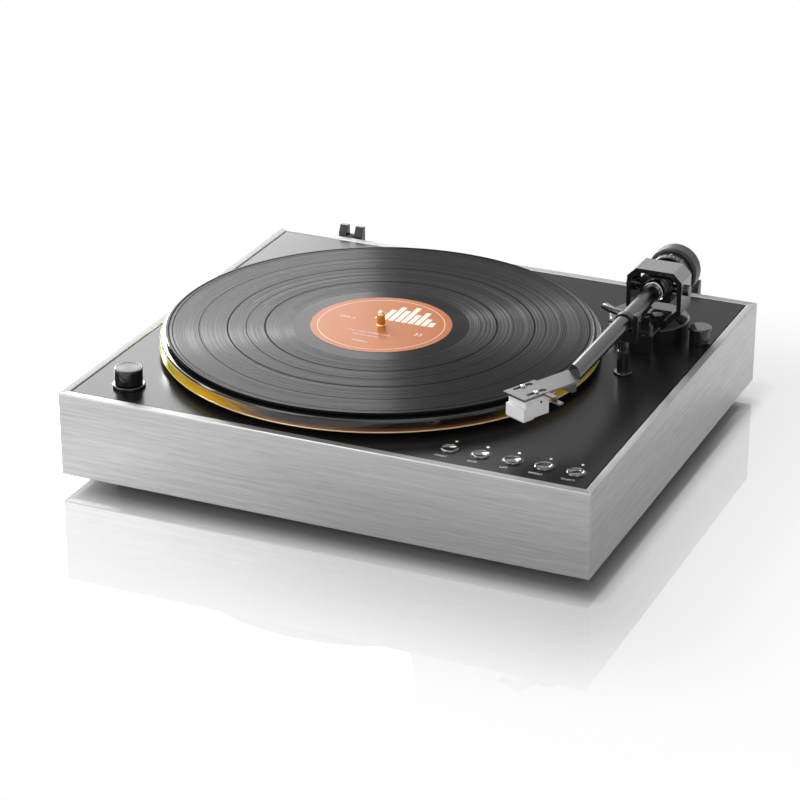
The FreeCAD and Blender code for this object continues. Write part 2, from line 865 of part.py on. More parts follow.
def lift_arc():
    """The curved bar, a ring section with a crowned top for the tube to ride on."""
    bar_z = lift_z - lift_arc_t
    r0, r1 = lift_arc_r - lift_arc_w / 2, lift_arc_r + lift_arc_w / 2
    ring = rod(arm_x, arm_y, bar_z, lift_z, r1).cut(rod(arm_x, arm_y, bar_z - past, lift_z + past, r0))
    crown = Part.makeTorus(lift_arc_r, lift_crown_r, V(arm_x, arm_y, lift_z - lift_crown_r), V(0, 0, 1))
    wedge = [(arm_x, arm_y)]
    for a in (lift_arc_to, (lift_arc_to + lift_arc_from) / 2, lift_arc_from):
        turn = math.radians(-90 - a)
        wedge.append((arm_x + 2 * r1 * math.cos(turn), arm_y + 2 * r1 * math.sin(turn)))
    return ring.common(crown).common(prism(wedge, bar_z, lift_z))


def arm_lift():
    """The rod and curved bar under the tube, and the coil that moves them."""
    bar_z = lift_z - lift_arc_t
    w = lift_eye_r
    low_z = lift_z - lift_crown_r + math.sqrt(lift_crown_r ** 2 - lift_arc_w ** 2 / 4)
    eye_y = arm_y - lift_arc_r
    web = box(lift_x - w, lift_x + w, eye_y, lift_y, bar_z, low_z)
    boss = rod(lift_x, lift_y, bar_z, low_z, w)
    stem = rod(lift_x, lift_y, coil_z1 - lift_rod_in, bar_z, lift_rod_r)
    save("lift_bar", lift_arc().fuse([web, boss, stem]))

    coil = rod(lift_x, lift_y, coil_z0, coil_z1, coil_r)
    yoke_y = lift_y - coil_r
    yoke = box(lift_x - coil_r, lift_x + coil_r, yoke_y - yoke_t / 2, yoke_y + yoke_t / 2, coil_z0, under_z)
    bore = rod(lift_x, lift_y, coil_z0 + coil_floor, coil_z1 + past, lift_rod_r + running)
    save("lift_solenoid", coil.fuse(yoke).cut(bore))


def arm_rest():
    """The post whose cradle holds the tube; it is low on the side of the record."""
    seat = axis_z - tube_r - rest_clear
    c = rest_foot_bevel
    foot_z = deck_z + rest_foot_h
    outline = [(0, deck_z), (rest_foot_r, deck_z), (rest_foot_r, foot_z - c), (rest_foot_r - c, foot_z),
               (0, foot_z)]
    foot = turned(arm_x, rest_y, outline)
    neck = top_z + rest_neck
    post = rod(arm_x, rest_y, deck_z, neck, rest_r)
    z1 = neck - rest_groove_at
    z0 = z1 - rest_groove_w
    core = rod(arm_x, rest_y, z0 - past, z1 + past, rest_r - rest_groove_t)
    post = post.cut(rod(arm_x, rest_y, z0, z1, rest_r + past).cut(core))
    y0, y1 = rest_y - rest_w / 2, rest_y + rest_w / 2
    inner = arm_x + tube_r + clip_t + loose
    saddle = box(arm_x - rest_left, inner + prong_t, y0, y1, neck, seat)
    prong = box(inner, inner + prong_t, y0, y1, seat, axis_z + prong_up)
    top = [e for e in prong.Edges if all(v.Z > axis_z for v in e.Vertexes)]
    prong = prong.makeChamfer(prong_chamfer, top)
    save("armrest", foot.fuse([post, saddle, prong]))

    t, w = clip_t, clip_w / 2
    low = axis_z - clip_low
    wide = 2 * tube_r
    band = rod_y(arm_x, rest_y - w, rest_y + w, axis_z, tube_r + t)
    band = band.cut(rod_y(arm_x, rest_y - w - past, rest_y + w + past, axis_z, tube_r))
    under = box(arm_x - wide, arm_x + wide, rest_y - w - past, rest_y + w + past, axis_z - wide, low)
    x1 = arm_x - tube_r - t / 2
    lug = box(x1 - clip_lug, x1, rest_y - w, rest_y + w, low, low + clip_lug_t)
    save("rest_clip", band.cut(under).fuse(lug))


def skate_knob():
    z0, z1 = deck_z + skate_lift, top_z + skate_h
    r, s, c = skate_r, skate_body_r, skate_edge
    lid = z1 - skate_top_t
    low = under_z - skate_shaft_low
    knob = [(0, low), (skate_shaft_r, low), (skate_shaft_r, z0), (s, z0), (s, lid), (r, lid + c),
            (r, z1 - c), (r - c, z1), (0, z1)]
    save("antiskate_knob", turned(skate_x, skate_y, knob))


def arm_tube():
    far = tube_end_y - 2 * tube_r
    tube = rod_y(arm_x, far, tube_y, axis_z, tube_r)
    tube = tube.cut(rod_y(arm_x, far - past, tube_y - tube_plug, axis_z, tube_r - tube_wall))
    tube = tube.cut(rod_y(arm_x, tube_y - tube_plug - past, tube_y + past, axis_z, stub_r))
    save("arm_tube", tube.cut(mitre()))

    c = tube_r / 10
    nose_y = tube_y - bell_len
    collar = [(tube_r, nose_y), (bell_nose_r, nose_y), (bell_r, tube_y - bell_len / 2),
              (bell_r, tube_y - c), (bell_r - c, tube_y), (tube_r, tube_y)]
    spine = rod_y(arm_x, tube_y - tube_plug, arm_y + stub_rear, axis_z, stub_r)
    web = rod_y(arm_x, tube_y, tube_y + bell_web, axis_z, bell_r - c)
    save("arm_spine", spine.fuse([web, turned_y(arm_x, axis_z, collar)]))

    b0, b1, half = arm_y - block_d / 2, arm_y + block_d / 2, block_w / 2
    block = box(arm_x - half, arm_x + half, b0, b1, axis_z - block_down, axis_z + block_up)
    long_edges = [e for e in block.Edges if abs(e.Vertexes[0].Y - e.Vertexes[-1].Y) > slip]
    block = block.makeChamfer(block_chamfer, long_edges)
    block = block.cut(rod_y(arm_x, b0 - past, b1 + past, axis_z, stub_r))
    for sign in (-1, 1):
        x0, x1 = sorted((arm_x + sign * (half - pivot_tip_len), arm_x + sign * (half + past)))
        block = block.cut(rod_x(x0, x1, arm_y, axis_z, pivot_tip_r + running))
    save("pivot_block", block)


def mitre():
    """The space in front of the slanted end of the tube."""
    a = math.radians(-mitre_deg)
    wide = V(math.cos(a), math.sin(a), 0) * 10 * tube_r
    ahead = V(wide.y, -wide.x, 0)
    c = V(arm_x, tube_end_y, 0)
    corners = [c - wide, c + wide, c + wide + ahead, c - wide + ahead]
    return prism([(q.x, q.y) for q in corners], axis_z - 2 * tube_r, axis_z + 2 * tube_r)


def finger_lift():
    """The stepped tab beside the headshell."""
    t0, t1 = -lift_tab_at - lift_tab_w / 2, -lift_tab_at + lift_tab_w / 2
    step = plate_outer + lift_tab_in
    top = plate_z + lift_tab_t
    low = plate_z - lift_tab_drop
    half = lift_tab_step / 2
    tab = shell_box(t0, t1, plate_outer - past, step, plate_z, top)
    link = shell_box(t0, t1, step - half, step + half, low, top)
    drop = shell_box(t0, t1, step - half, plate_outer + lift_tab_out, low, low + lift_tab_t)
    return [tab, link, drop]


def headshell():
    i, o, ri = -plate_inner, plate_outer, -plate_inner_rear
    f, s, r = plate_front, -plate_step, -plate_rear
    corners = [(f, i), (f, o), (r + plate_skew, o), (r - plate_skew, ri), (s, ri), (s, i)]
    outline = [(shell_point(a, b).x, shell_point(a, b).y) for a, b in corners]
    plate = prism(outline, plate_z, plate_z + plate_t)
    z0, z1 = plate_z - past, plate_z + plate_t + past
    for side in (-1, 1):
        c = side * screw_pitch / 2
        a0, a1 = slot_shift - slot_half, slot_shift + slot_half
        slot = shell_box(a0, a1, c - slot_r, c + slot_r, z0, z1)
        for a in (a0, a1):
            p = shell_point(a, c)
            slot = slot.fuse(rod(p.x, p.y, z0, z1, slot_r))
        plate = plate.cut(slot)
    save("headshell", plate.fuse(finger_lift()))

    start, w = mount_start - plate_rear, mount_w / 2
    mount = shell_box(start, start + mount_len, -w, w, plate_z - mount_drop, plate_z)
    mount = mount.cut(mount_slope(start + mount_flat, start + mount_len))
    front, back = tube_end_y - 2 * tube_r, tube_end_y + 3 * tube_r
    sleeve = rod_y(arm_x, front, back, axis_z, tube_r + running).cut(mitre())
    core = rod_y(arm_x, front, back, axis_z, tube_r - tube_wall - running)
    below = box(arm_x - tube_r, arm_x + tube_r, front, back, axis_z - tube_r, plate_z)
    save("headshell_mount", mount.cut(sleeve).fuse([core.cut(mitre()), core.common(below)]))


def mount_slope(start, stop):
    """The space below the mount, which thins towards the front."""
    low = plate_z - mount_drop
    base = low - past
    a, b = shell_point(start, -mount_w), shell_point(stop, -mount_w)
    wedge = [V(a.x, a.y, low), V(a.x, a.y, base), V(b.x, b.y, base), V(b.x, b.y, plate_z - mount_nose)]
    return Part.Face(Part.makePolygon(wedge + wedge[:1])).extrude(across * 2 * mount_w)


def cartridge():
    half = cart_w / 2
    brow_z = plate_z - cart_brow
    shell = shell_box(-cart_rear, guard_rear, -half, half, plate_z - cart_h, plate_z)
    shell = shell.fuse(shell_box(guard_rear, guard_front - cart_brow_in, -half, half, brow_z, plate_z))
    for side in (-1, 1):
        p = shell_point(-cart_rear, side * cart_pin_side)
        for level in cart_pin_levels:
            pin = Part.makeCylinder(cart_pin_r, cart_pin_len, V(p.x, p.y, plate_z - level), -along)
            shell = shell.fuse(pin)
        p = shell_point(0, side * screw_pitch / 2)
        shell = shell.cut(rod(p.x, p.y, plate_z - screw_depth, plate_z + past, screw_r))
    save("cartridge", shell)

    w, room = guard_w / 2, stylus_room / 2
    guard = shell_box(guard_rear, guard_front, -w, w, nose_z, brow_z)
    edges = [e for e in guard.Edges if all(v.Z < nose_z + slip for v in e.Vertexes)]
    guard = guard.makeFillet(guard_round, edges)
    root_z = nose_z + stylus_room_h
    hole = shell_box(stylus_ahead - room, stylus_ahead + room, -room, room, nose_z - past, root_z)
    guard = guard.cut(hole)
    p = shell_point(stylus_ahead, 0, tip_z)
    tip = Part.makeCone(stylus_point_r, stylus_r, root_z - tip_z, p, V(0, 0, 1))
    save("stylus", guard.fuse(tip))

    for name, side in (("cartridge_screw_l", -1), ("cartridge_screw_r", 1)):
        p = shell_point(0, side * screw_pitch / 2)
        seat = plate_z + plate_t
        head = rod(p.x, p.y, seat, seat + screw_head_t, screw_head_r)
        shank = rod(p.x, p.y, plate_z - screw_depth, seat, screw_r)
        save(name, head.fuse(shank))


def counterweight():
    y0 = arm_y + weight_front
    y1 = y0 + weight_t
    b = weight_bevel
    hole = stub_r + running
    body = [(hole, y0), (weight_r - b, y0), (weight_r, y0 + b), (weight_r, y1 - b),
            (weight_r - b, y1), (hole, y1)]
    save("counterweight", turned_y(arm_x, axis_z, body))
    d1 = y0 - dial_gap
    d0 = d1 - dial_t
    c = dial_bevel
    dial = [(hole, d0), (dial_r - c, d0), (dial_r, d0 + c), (dial_r, d1), (hole, d1)]
    save("force_dial", turned_y(arm_x, axis_z, dial))


def cover_hinges():
    pin_y = rear_y + hinge_pin_out
    pin_z = top_z - hinge_pin_low
    lug, w, r = hinge_lug_w / 2, hinge_plate_w / 2, hinge_prong_r
    for side, x in (("l", -hinge_out), ("r", hinge_out)):
        low = pin_z - hinge_plate_h
        plate = box(x - w, x + w, rear_y, rear_y + hinge_plate_t, low, pin_z - hinge_plate_low)
        arm = box(x - lug, x + lug, rear_y, pin_y, pin_z - hinge_arm_low, pin_z)
        eye = rod_x(x - lug, x + lug, pin_y, pin_z, hinge_eye_r)
        arm = arm.fuse([plate, eye])
        arm = arm.cut(rod_x(x - w, x + w, pin_y, pin_z, hinge_pin_r + running))
        relief = box(x - w, x + w, rear_y - past, rear_y + hinge_relief, pin_z - hinge_eye_r, top_z)
        save("hinge_base_" + side, arm.cut(relief))

        fork = rod_x(x - lug - slip, x + lug + slip, pin_y, pin_z, hinge_pin_r)
        high = top_z + hinge_rise
        side_view = [(-r, pin_z), (r, pin_z), (r, high - hinge_tip), (r - hinge_tip, high),
                     (hinge_lean - r, high), (-r, high - 2 * hinge_lean)]
        for sign in (-1, 1):
            x0, x1 = sorted((x + sign * (lug + slip), x + sign * (lug + slip + hinge_prong_w)))
            outline = [V(x0, pin_y + y, z) for y, z in side_view + side_view[:1]]
            blade = Part.Face(Part.makePolygon(outline)).extrude(V(x1 - x0, 0, 0))
            fork = fork.fuse([blade, rod_x(x0, x1, pin_y, pin_z, r)])
        save("hinge_arm_" + side, fork)


def rear_sockets():
    z = socket_z
    y0, y1 = rear_y, rear_y + socket_t
    half_w, half_h = socket_w / 2, socket_h / 2
    plate = box(socket_x - half_w, socket_x + half_w, y0, y1, z - half_h, z + half_h)
    plate = plate.fuse(socket_window(slip))
    inlet_x = socket_x + inlet_at
    mouth = y1 + inlet_proud
    plate = plate.fuse(rod_y(inlet_x, y0, mouth, z, inlet_outer_r))
    plate = plate.cut(rod_y(inlet_x, y0 - inlet_len, mouth + past, z, inlet_r))
    plate = plate.fuse(rod_y(inlet_x, y0 - inlet_len, y1 - inlet_pin_short, z, inlet_pin_r))

    metal = []
    tip = y0 + jack_len
    for i in range(2):
        x = socket_x + jack_first + i * jack_pitch
        root = rod_y(x, y0 - jack_root, y1, z, jack_root_r)
        plate = plate.cut(root)
        jack = root.fuse(rod_y(x, y1, tip, z, jack_r))
        metal.append(jack.cut(rod_y(x, tip - jack_hole_len, tip + past, z, jack_hole_r)))
    x = socket_x + jack_first + 2 * jack_pitch
    stem = rod_y(x, y0 - jack_root, tip, z, post_stem_r)
    plate = plate.cut(stem)
    metal.append(stem.fuse(rod_y(x, y1 + slip, tip - post_gap, z, post_r)))
    save("socket_plate", plate)
    save("signal_jacks", Part.makeCompound(metal))


case_panels()
deck_plate()
chassis_frame()
bottom_tray()
feet()
platter_parts()
drive_parts()
buttons()
selector()
pivot_frame()
arm_drive()
arm_base()
arm_lift()
arm_rest()
skate_knob()
arm_tube()
headshell()
cartridge()
counterweight()
cover_hinges()
rear_sockets()
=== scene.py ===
"""The looks of an automatic turntable, built round its packed construction. Lengths are in metres."""
import json
import math

import bmesh
import bpy
from mathutils import Matrix, Vector


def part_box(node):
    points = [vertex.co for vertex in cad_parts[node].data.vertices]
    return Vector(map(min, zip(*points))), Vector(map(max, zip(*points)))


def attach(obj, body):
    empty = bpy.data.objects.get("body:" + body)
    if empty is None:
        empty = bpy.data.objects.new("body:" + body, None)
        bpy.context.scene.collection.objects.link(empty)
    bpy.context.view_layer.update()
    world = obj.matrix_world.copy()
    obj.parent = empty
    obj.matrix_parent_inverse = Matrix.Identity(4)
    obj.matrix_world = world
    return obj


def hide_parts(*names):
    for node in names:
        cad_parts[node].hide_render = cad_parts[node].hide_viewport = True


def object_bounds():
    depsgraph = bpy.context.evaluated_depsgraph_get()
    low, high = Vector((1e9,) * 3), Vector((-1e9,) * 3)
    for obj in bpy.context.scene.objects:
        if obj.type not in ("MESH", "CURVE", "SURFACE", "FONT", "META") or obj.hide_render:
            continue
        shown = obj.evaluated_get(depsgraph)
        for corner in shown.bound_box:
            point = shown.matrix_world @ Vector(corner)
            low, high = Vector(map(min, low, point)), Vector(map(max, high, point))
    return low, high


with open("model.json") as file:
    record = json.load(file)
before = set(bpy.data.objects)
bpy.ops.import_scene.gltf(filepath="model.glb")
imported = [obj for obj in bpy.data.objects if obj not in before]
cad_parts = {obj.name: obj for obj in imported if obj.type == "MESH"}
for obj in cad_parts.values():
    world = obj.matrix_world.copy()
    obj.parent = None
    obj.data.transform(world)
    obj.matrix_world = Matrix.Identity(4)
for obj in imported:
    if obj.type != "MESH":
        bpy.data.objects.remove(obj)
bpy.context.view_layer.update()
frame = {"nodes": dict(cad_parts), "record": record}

MM = 0.001
SHARP = math.radians(32)
ROUND = 192
QUARTER_TURN = 0.25


# Camera, as the photograph was taken

CAMERA_AT = (0.7264, -1.6936, 0.8546)
CAMERA_TURN = 23.734
CAMERA_DOWN = 24.185
CAMERA_ROLL = 0.123
LENS = 127.9
SENSOR = 36.0


def place_camera():
    data = bpy.data.cameras.new("camera")
    data.lens = LENS
    data.sensor_width = SENSOR
    data.clip_start = 0.05
    data.clip_end = 50
    camera = bpy.data.objects.new("camera", data)
    turn = Matrix.Rotation(math.radians(CAMERA_TURN), 4, "Z")
    tilt = Matrix.Rotation(math.radians(90 - CAMERA_DOWN), 4, "X")
    roll = Matrix.Rotation(math.radians(CAMERA_ROLL), 4, "Z")
    camera.matrix_world = Matrix.Translation(CAMERA_AT) @ turn @ tilt @ roll
    bpy.context.scene.collection.objects.link(camera)
    bpy.context.scene.camera = camera
    bpy.context.scene.view_settings.view_transform = "Standard"


# Shader maths

class Wire:
    """A number in a shader. The usual operators add Math nodes."""

    def __init__(self, recipe, socket):
        self.recipe = recipe
        self.socket = socket

    def beside(self, name):
        """Another output of the same node."""
        return Wire(self.recipe, self.socket.node.outputs[name])

    def maths(self, operation, *values):
        return self.recipe.add("ShaderNodeMath", {"operation": operation}, dict(enumerate(values)))

    def root(self):
        return self.maths("SQRT", self)

    def sine(self):
        return self.maths("SINE", self)

    def size(self):
        return self.maths("ABSOLUTE", self)

    def angle_over(self, x):
        return self.maths("ARCTAN2", self, x)

    def at_least(self, least):
        return self.maths("MAXIMUM", self, least)

    def at_most(self, most):
        return self.maths("MINIMUM", self, most)

    def __add__(self, other):
        return self.maths("ADD", self, other)

    def __radd__(self, other):
        return self.maths("ADD", other, self)

    def __sub__(self, other):
        return self.maths("SUBTRACT", self, other)

    def __rsub__(self, other):
        return self.maths("SUBTRACT", other, self)

    def __mul__(self, other):
        return self.maths("MULTIPLY", self, other)

    def __rmul__(self, other):
        return self.maths("MULTIPLY", other, self)

    def __truediv__(self, other):
        return self.maths("DIVIDE", self, other)

    def __rtruediv__(self, other):
        return self.maths("DIVIDE", other, self)

    def __lt__(self, other):
        return self.maths("LESS_THAN", self, other)

    def __gt__(self, other):
        return self.maths("GREATER_THAN", self, other)


def distance(x, y):
    """How far a place lies from an upright centre line."""
    return (x * x + y * y).root()


class Recipe:
    """A tree of shader nodes."""

    def __init__(self, tree):
        self.tree = tree

    def add(self, kind, settings=None, inputs=None, out=0):
        node = self.tree.nodes.new(kind)
        for key, value in (settings or {}).items():
            setattr(node, key, value)
        for key, value in (inputs or {}).items():
            self.feed(node.inputs[key], value)
        return Wire(self, node.outputs[out])

    def feed(self, socket, value):
        if isinstance(value, Wire):
            self.tree.links.new(value.socket, socket)
        else:
            socket.default_value = value

    def place(self, scale=(1, 1, 1), centre=(0, 0, 0)):
        """Object coordinates, measured from a centre and stretched."""
        here = self.add("ShaderNodeTexCoord", out="Object")
        moved = self.add("ShaderNodeVectorMath", {"operation": "SUBTRACT"}, {0: here, 1: centre})
        return self.add("ShaderNodeVectorMath", {"operation": "MULTIPLY"}, {0: moved, 1: scale})

    def parts(self, where):
        split = self.add("ShaderNodeSeparateXYZ", {}, {"Vector": where})
        return [split.beside(axis) for axis in "XYZ"]

    def noise(self, where, scale, detail=3.0, roughness=0.5):
        inputs = {"Vector": where, "Scale": scale, "Detail": detail, "Roughness": roughness}
        return self.add("ShaderNodeTexNoise", {}, inputs, "Fac")

    def mix(self, share, first, second):
        """A colour between two. The sockets of a Mix node that are for colours have the numbers 6 and 7."""
        return self.add("ShaderNodeMix", {"data_type": "RGBA"}, {0: share, 6: first, 7: second}, 2)

    def fade(self, value, start, stop, first=0.0, last=1.0):
        """A smooth change from a first to a last number between two places."""
        ends = {"Value": value, "From Min": start, "From Max": stop, "To Min": first, "To Max": last}
        return self.add("ShaderNodeMapRange", {"interpolation_type": "SMOOTHSTEP"}, ends)

    def grey_of(self, value):
        """A grey colour whose three channels are one value."""
        return self.add("ShaderNodeCombineColor", {}, {0: value, 1: value, 2: value})

    def seen(self, mirrored):
        """1 for what the camera sees, and a share of it for what metal and glass show."""
        ray = self.add("ShaderNodeLightPath")
        in_metal_and_glass = ray.beside("Is Glossy Ray") + ray.beside("Is Transmission Ray")
        return (ray.beside("Is Camera Ray") + in_metal_and_glass * mirrored).at_most(1.0)


class Finish(Recipe):
    """One material, with a Principled shader and what feeds it."""

    def __init__(self, name, **settings):
        self.material = bpy.data.materials.new(name)
        self.material.use_nodes = True
        super().__init__(self.material.node_tree)
        self.shader = self.tree.nodes["Principled BSDF"]
        self.own = Wire(self, self.shader.outputs[0])
        for key, value in settings.items():
            self.shader.inputs[key.replace("_", " ")].default_value = value

    def set(self, name, wire):
        self.feed(self.shader.inputs[name], wire)

    def bump(self, height, strength, depth):
        inputs = {"Height": height, "Strength": strength, "Distance": depth}
        self.set("Normal", self.add("ShaderNodeBump", {}, inputs))

    def dark(self, level, rough, shine):
        """A second, plain shader for parts of the surface."""
        inputs = {"Base Color": grey(level), "Roughness": rough, "Specular IOR Level": shine}
        return self.add("ShaderNodeBsdfPrincipled", {}, inputs)

    def blend(self, share, first, second):
        return self.add("ShaderNodeMixShader", {}, {0: share, 1: first, 2: second})

    def surface(self, wire):
        self.feed(self.tree.nodes["Material Output"].inputs["Surface"], wire)


def grey(level):
    return (level, level, level, 1.0)


def colour(red, green, blue):
    return (red, green, blue, 1.0)


def toned(shade, share, lift=0.0):
    """A lighter or darker tone of a colour."""
    return [min(1.0, channel * share + lift) for channel in shade[:3]] + [1.0]


# Metals

FINE_STREAK = (22.0 * MM, 0.5 * MM)
COARSE_STREAK = (70.0 * MM, 1.4 * MM)
TURNING_LINES = 16000.0


def brushed_metal(name, level, along):
    """Metal brushed along one axis: streaks of two lengths that vary its shade and roughness."""
    made = Finish(name, Metallic=1.0, Anisotropic=0.6, Anisotropic_Rotation=QUARTER_TURN)

    def streaks(size, detail):
        length, thickness = size
        scale = [1 / thickness] * 3
        scale["xyz".index(along)] = 1 / length
        return made.noise(made.place(scale), 1.0, detail, 0.6)

    fine = streaks(FINE_STREAK, 3.0)
    coarse = streaks(COARSE_STREAK, 2.0)
    shade = fine * 1.1 + coarse * 0.8 - 0.45
    made.set("Base Color", made.mix(shade, grey(level * 1.25), grey(level * 0.70)))
    made.set("Roughness", fine * 0.14 + coarse * 0.06 + 0.24)
    made.bump(fine, 0.20, 0.05 * MM)
    return made.material


def satin_metal(name, level, rough=0.32, grain=5200.0, strength=0.12):
    """Blasted or painted grey metal with a fine even grain."""
    made = Finish(name, Metallic=1.0)
    grains = made.noise(made.place(), grain, 2.0)
    clouds = made.noise(made.place(), 30.0)
    shade = grey(level)
    made.set("Base Color", made.mix(grains * 0.6 + clouds * 0.4, toned(shade, 1.08), toned(shade, 0.86)))
    made.set("Roughness", clouds * 0.08 + (rough - 0.04))
    made.bump(grains, strength, 0.03 * MM)
    return made.material


def polished(name, shade, rough=0.08):
    """Polished metal with faint turning marks."""
    made = Finish(name, Metallic=1.0)
    clouds = made.noise(made.place(), 90.0)
    fine = made.noise(made.place(), 2400.0, 2.0)
    made.set("Base Color", made.mix(clouds, shade, toned(shade, 0.9)))
    made.set("Roughness", clouds * 0.05 + fine * 0.04 + (rough - 0.03))
    made.bump(fine, 0.03, 0.02 * MM)
    return made.material


def turned_face(name, shade, centre):
    """A dark face turned on a lathe: fine rings about an upright centre line."""
    made = Finish(name, Anisotropic=0.9, Anisotropic_Rotation=QUARTER_TURN, Specular_IOR_Level=0.10)
    x, y, _ = made.parts(made.place(centre=centre))
    rings = (distance(x, y) * TURNING_LINES).sine() * 0.5 + 0.5
    made.set("Base Color", made.mix(rings, shade, toned(shade, 0.86)))
    made.set("Roughness", rings * 0.08 + 0.22)
    return made.material


# Paint, plastic and print

def deck_finish():
    """The deck's dark satin skin, with a fine even tooth that spreads reflections."""
    made = Finish("deck_finish", Specular_IOR_Level=0.11)
    tooth = made.noise(made.place(), 6500.0, 2.0)
    clouds = made.noise(made.place(), 14.0)
    made.set("Base Color", made.mix(tooth, grey(0.006), grey(0.012)))
    made.set("Roughness", clouds * 0.05 + tooth * 0.06 + 0.20)
    made.bump(tooth, 0.10, 0.03 * MM)
    return made.material


def moulded(name, shade, rough, coat=0.0):
    """Moulded plastic with a fine tooth, bare or under a clear coat."""
    made = Finish(name, Coat_Weight=coat, Coat_Roughness=0.04)
    grains = made.noise(made.place(), 3000.0, 2.0)
    clouds = made.noise(made.place(), 60.0, 2.0)
    made.set("Base Color", made.mix(clouds, toned(shade, 1.1, 0.002), toned(shade, 0.9)))
    made.set("Roughness", grains * 0.06 + clouds * 0.03 + (rough - 0.045))
    made.bump(grains, 0.04, 0.02 * MM)
    return made.material


def printed(name, level):
    made = Finish(name, Roughness=0.5)
    fine = made.noise(made.place(), 5000.0, 2.0)
    made.set("Base Color", made.mix(fine, grey(level), grey(level * 0.85)))
    return made.material


def lamp_glow():
    made = Finish("lamp_glow", Roughness=0.2, Emission_Color=colour(1.0, 0.97, 0.92), Emission_Strength=0.9)
    fine = made.noise(made.place(), 900.0, 2.0)
    made.set("Base Color", made.mix(fine, grey(0.85), grey(0.75)))
    return made.material


# Record and label, in millimetres

SPINDLE_HOLE = 3.65
TRACK_GAPS = (146.0, 127.5, 107.6, 94.5, 81.4)
TRACK_GAP_WIDTHS = (0.35, 0.25, 0.55, 0.25, 0.60)
FIRST_GROOVE = 148.0
LAST_GROOVE = 62.0

LABEL_RADIUS = 50.0
LABEL_CUT_EDGE = 49.75
LABEL_RING = (44.4, 44.9)
LABEL_BARS = (11.0, 19.0, 26.0, 21.0, 29.0, 17.0, 23.0, 13.0, 8.0)
LABEL_BARS_LEFT = -9.0
LABEL_BARS_LOW = 9.0
LABEL_BAR_PITCH = 5.0
LABEL_BAR_WIDTH = 3.8


def vinyl_finish(centre):
    """Pressed vinyl: fine grooves that shine across their run, with smooth dark lands between the tracks."""
    made = Finish("vinyl_finish", Anisotropic=1.0, Anisotropic_Rotation=QUARTER_TURN, Specular_IOR_Level=0.08)
    x, y, _ = made.parts(made.place(centre=centre))
    radius = distance(x, y)
    spiral = made.add("ShaderNodeCombineXYZ", {}, {0: radius, 1: y.angle_over(x) * 0.0002, 2: 0.0})
    fine = made.noise(spiral, 1900.0, 1.0)
    bands = made.noise(spiral, 620.0, 3.0, 0.6)
    made.set("Base Color", made.mix(bands, grey(0.006), grey(0.018)))
    made.set("Roughness", bands * 0.12 + 0.30)
    made.bump(fine, 0.25, 0.02 * MM)

    land = (radius > FIRST_GROOVE * MM) + (radius < LAST_GROOVE * MM)
    spans = zip(TRACK_GAPS, TRACK_GAP_WIDTHS)
    gaps = sum((radius - gap * MM).size() < width * MM for gap, width in spans)
    quiet = made.fade(fine * 0.45 + bands * 0.55, 0.38, 0.62, 0.15, 0.95).at_least(land.at_most(0.94))
    grooved = made.blend(quiet, made.own, made.dark(0.006, 0.12, 0.035))
    made.surface(made.blend(gaps * 0.85, grooved, made.dark(0.003, 0.5, 0.0)))
    return made.material


def label_paper(centre):
    """Orange printed paper with a pale ring and a plain pattern of pale bars."""
    made = Finish("label_paper", Roughness=0.28, Specular_IOR_Level=0.06)
    where = made.place(scale=(1 / MM, 1 / MM, 1 / MM), centre=centre)
    x, y, _ = made.parts(where)
    radius = distance(x, y)
    fibre = made.noise(where, 0.9)
    bars = (radius > LABEL_RING[0]) * (radius < LABEL_RING[1]) * 0.8
    for i, height in enumerate(LABEL_BARS):
        left = LABEL_BARS_LEFT + i * LABEL_BAR_PITCH
        across = (x > left) * (x < left + LABEL_BAR_WIDTH)
        bars = bars + across * (y > LABEL_BARS_LOW) * (y < LABEL_BARS_LOW + height)
    paper = made.mix(fibre, colour(0.45, 0.130, 0.024), colour(0.41, 0.115, 0.020))
    inked = made.mix(bars, paper, colour(0.88, 0.74, 0.66))
    made.set("Base Color", made.mix(radius > LABEL_CUT_EDGE, inked, colour(0.02, 0.012, 0.01)))
    made.bump(fibre, 0.05, 0.03 * MM)
    return made.material


# Platter's rim, whose colour is painted light: the way to its front, the cosines from there between which its
# painted glow and shade change, and the heights of its lip's painted highlight

AMBER_FRONT = (0.402, -0.916)
BROWN_TO_GOLDEN = (0.90, 0.62)
GOLDEN_TO_YELLOW = (0.62, 0.30)
YELLOW_TO_GOLDEN = (-0.10, -0.50)
LIP_HIGHLIGHT_FADES = (1.1 * MM, 0.8 * MM)
LIP_HIGHLIGHT_FRONT = (0.35, 0.55)


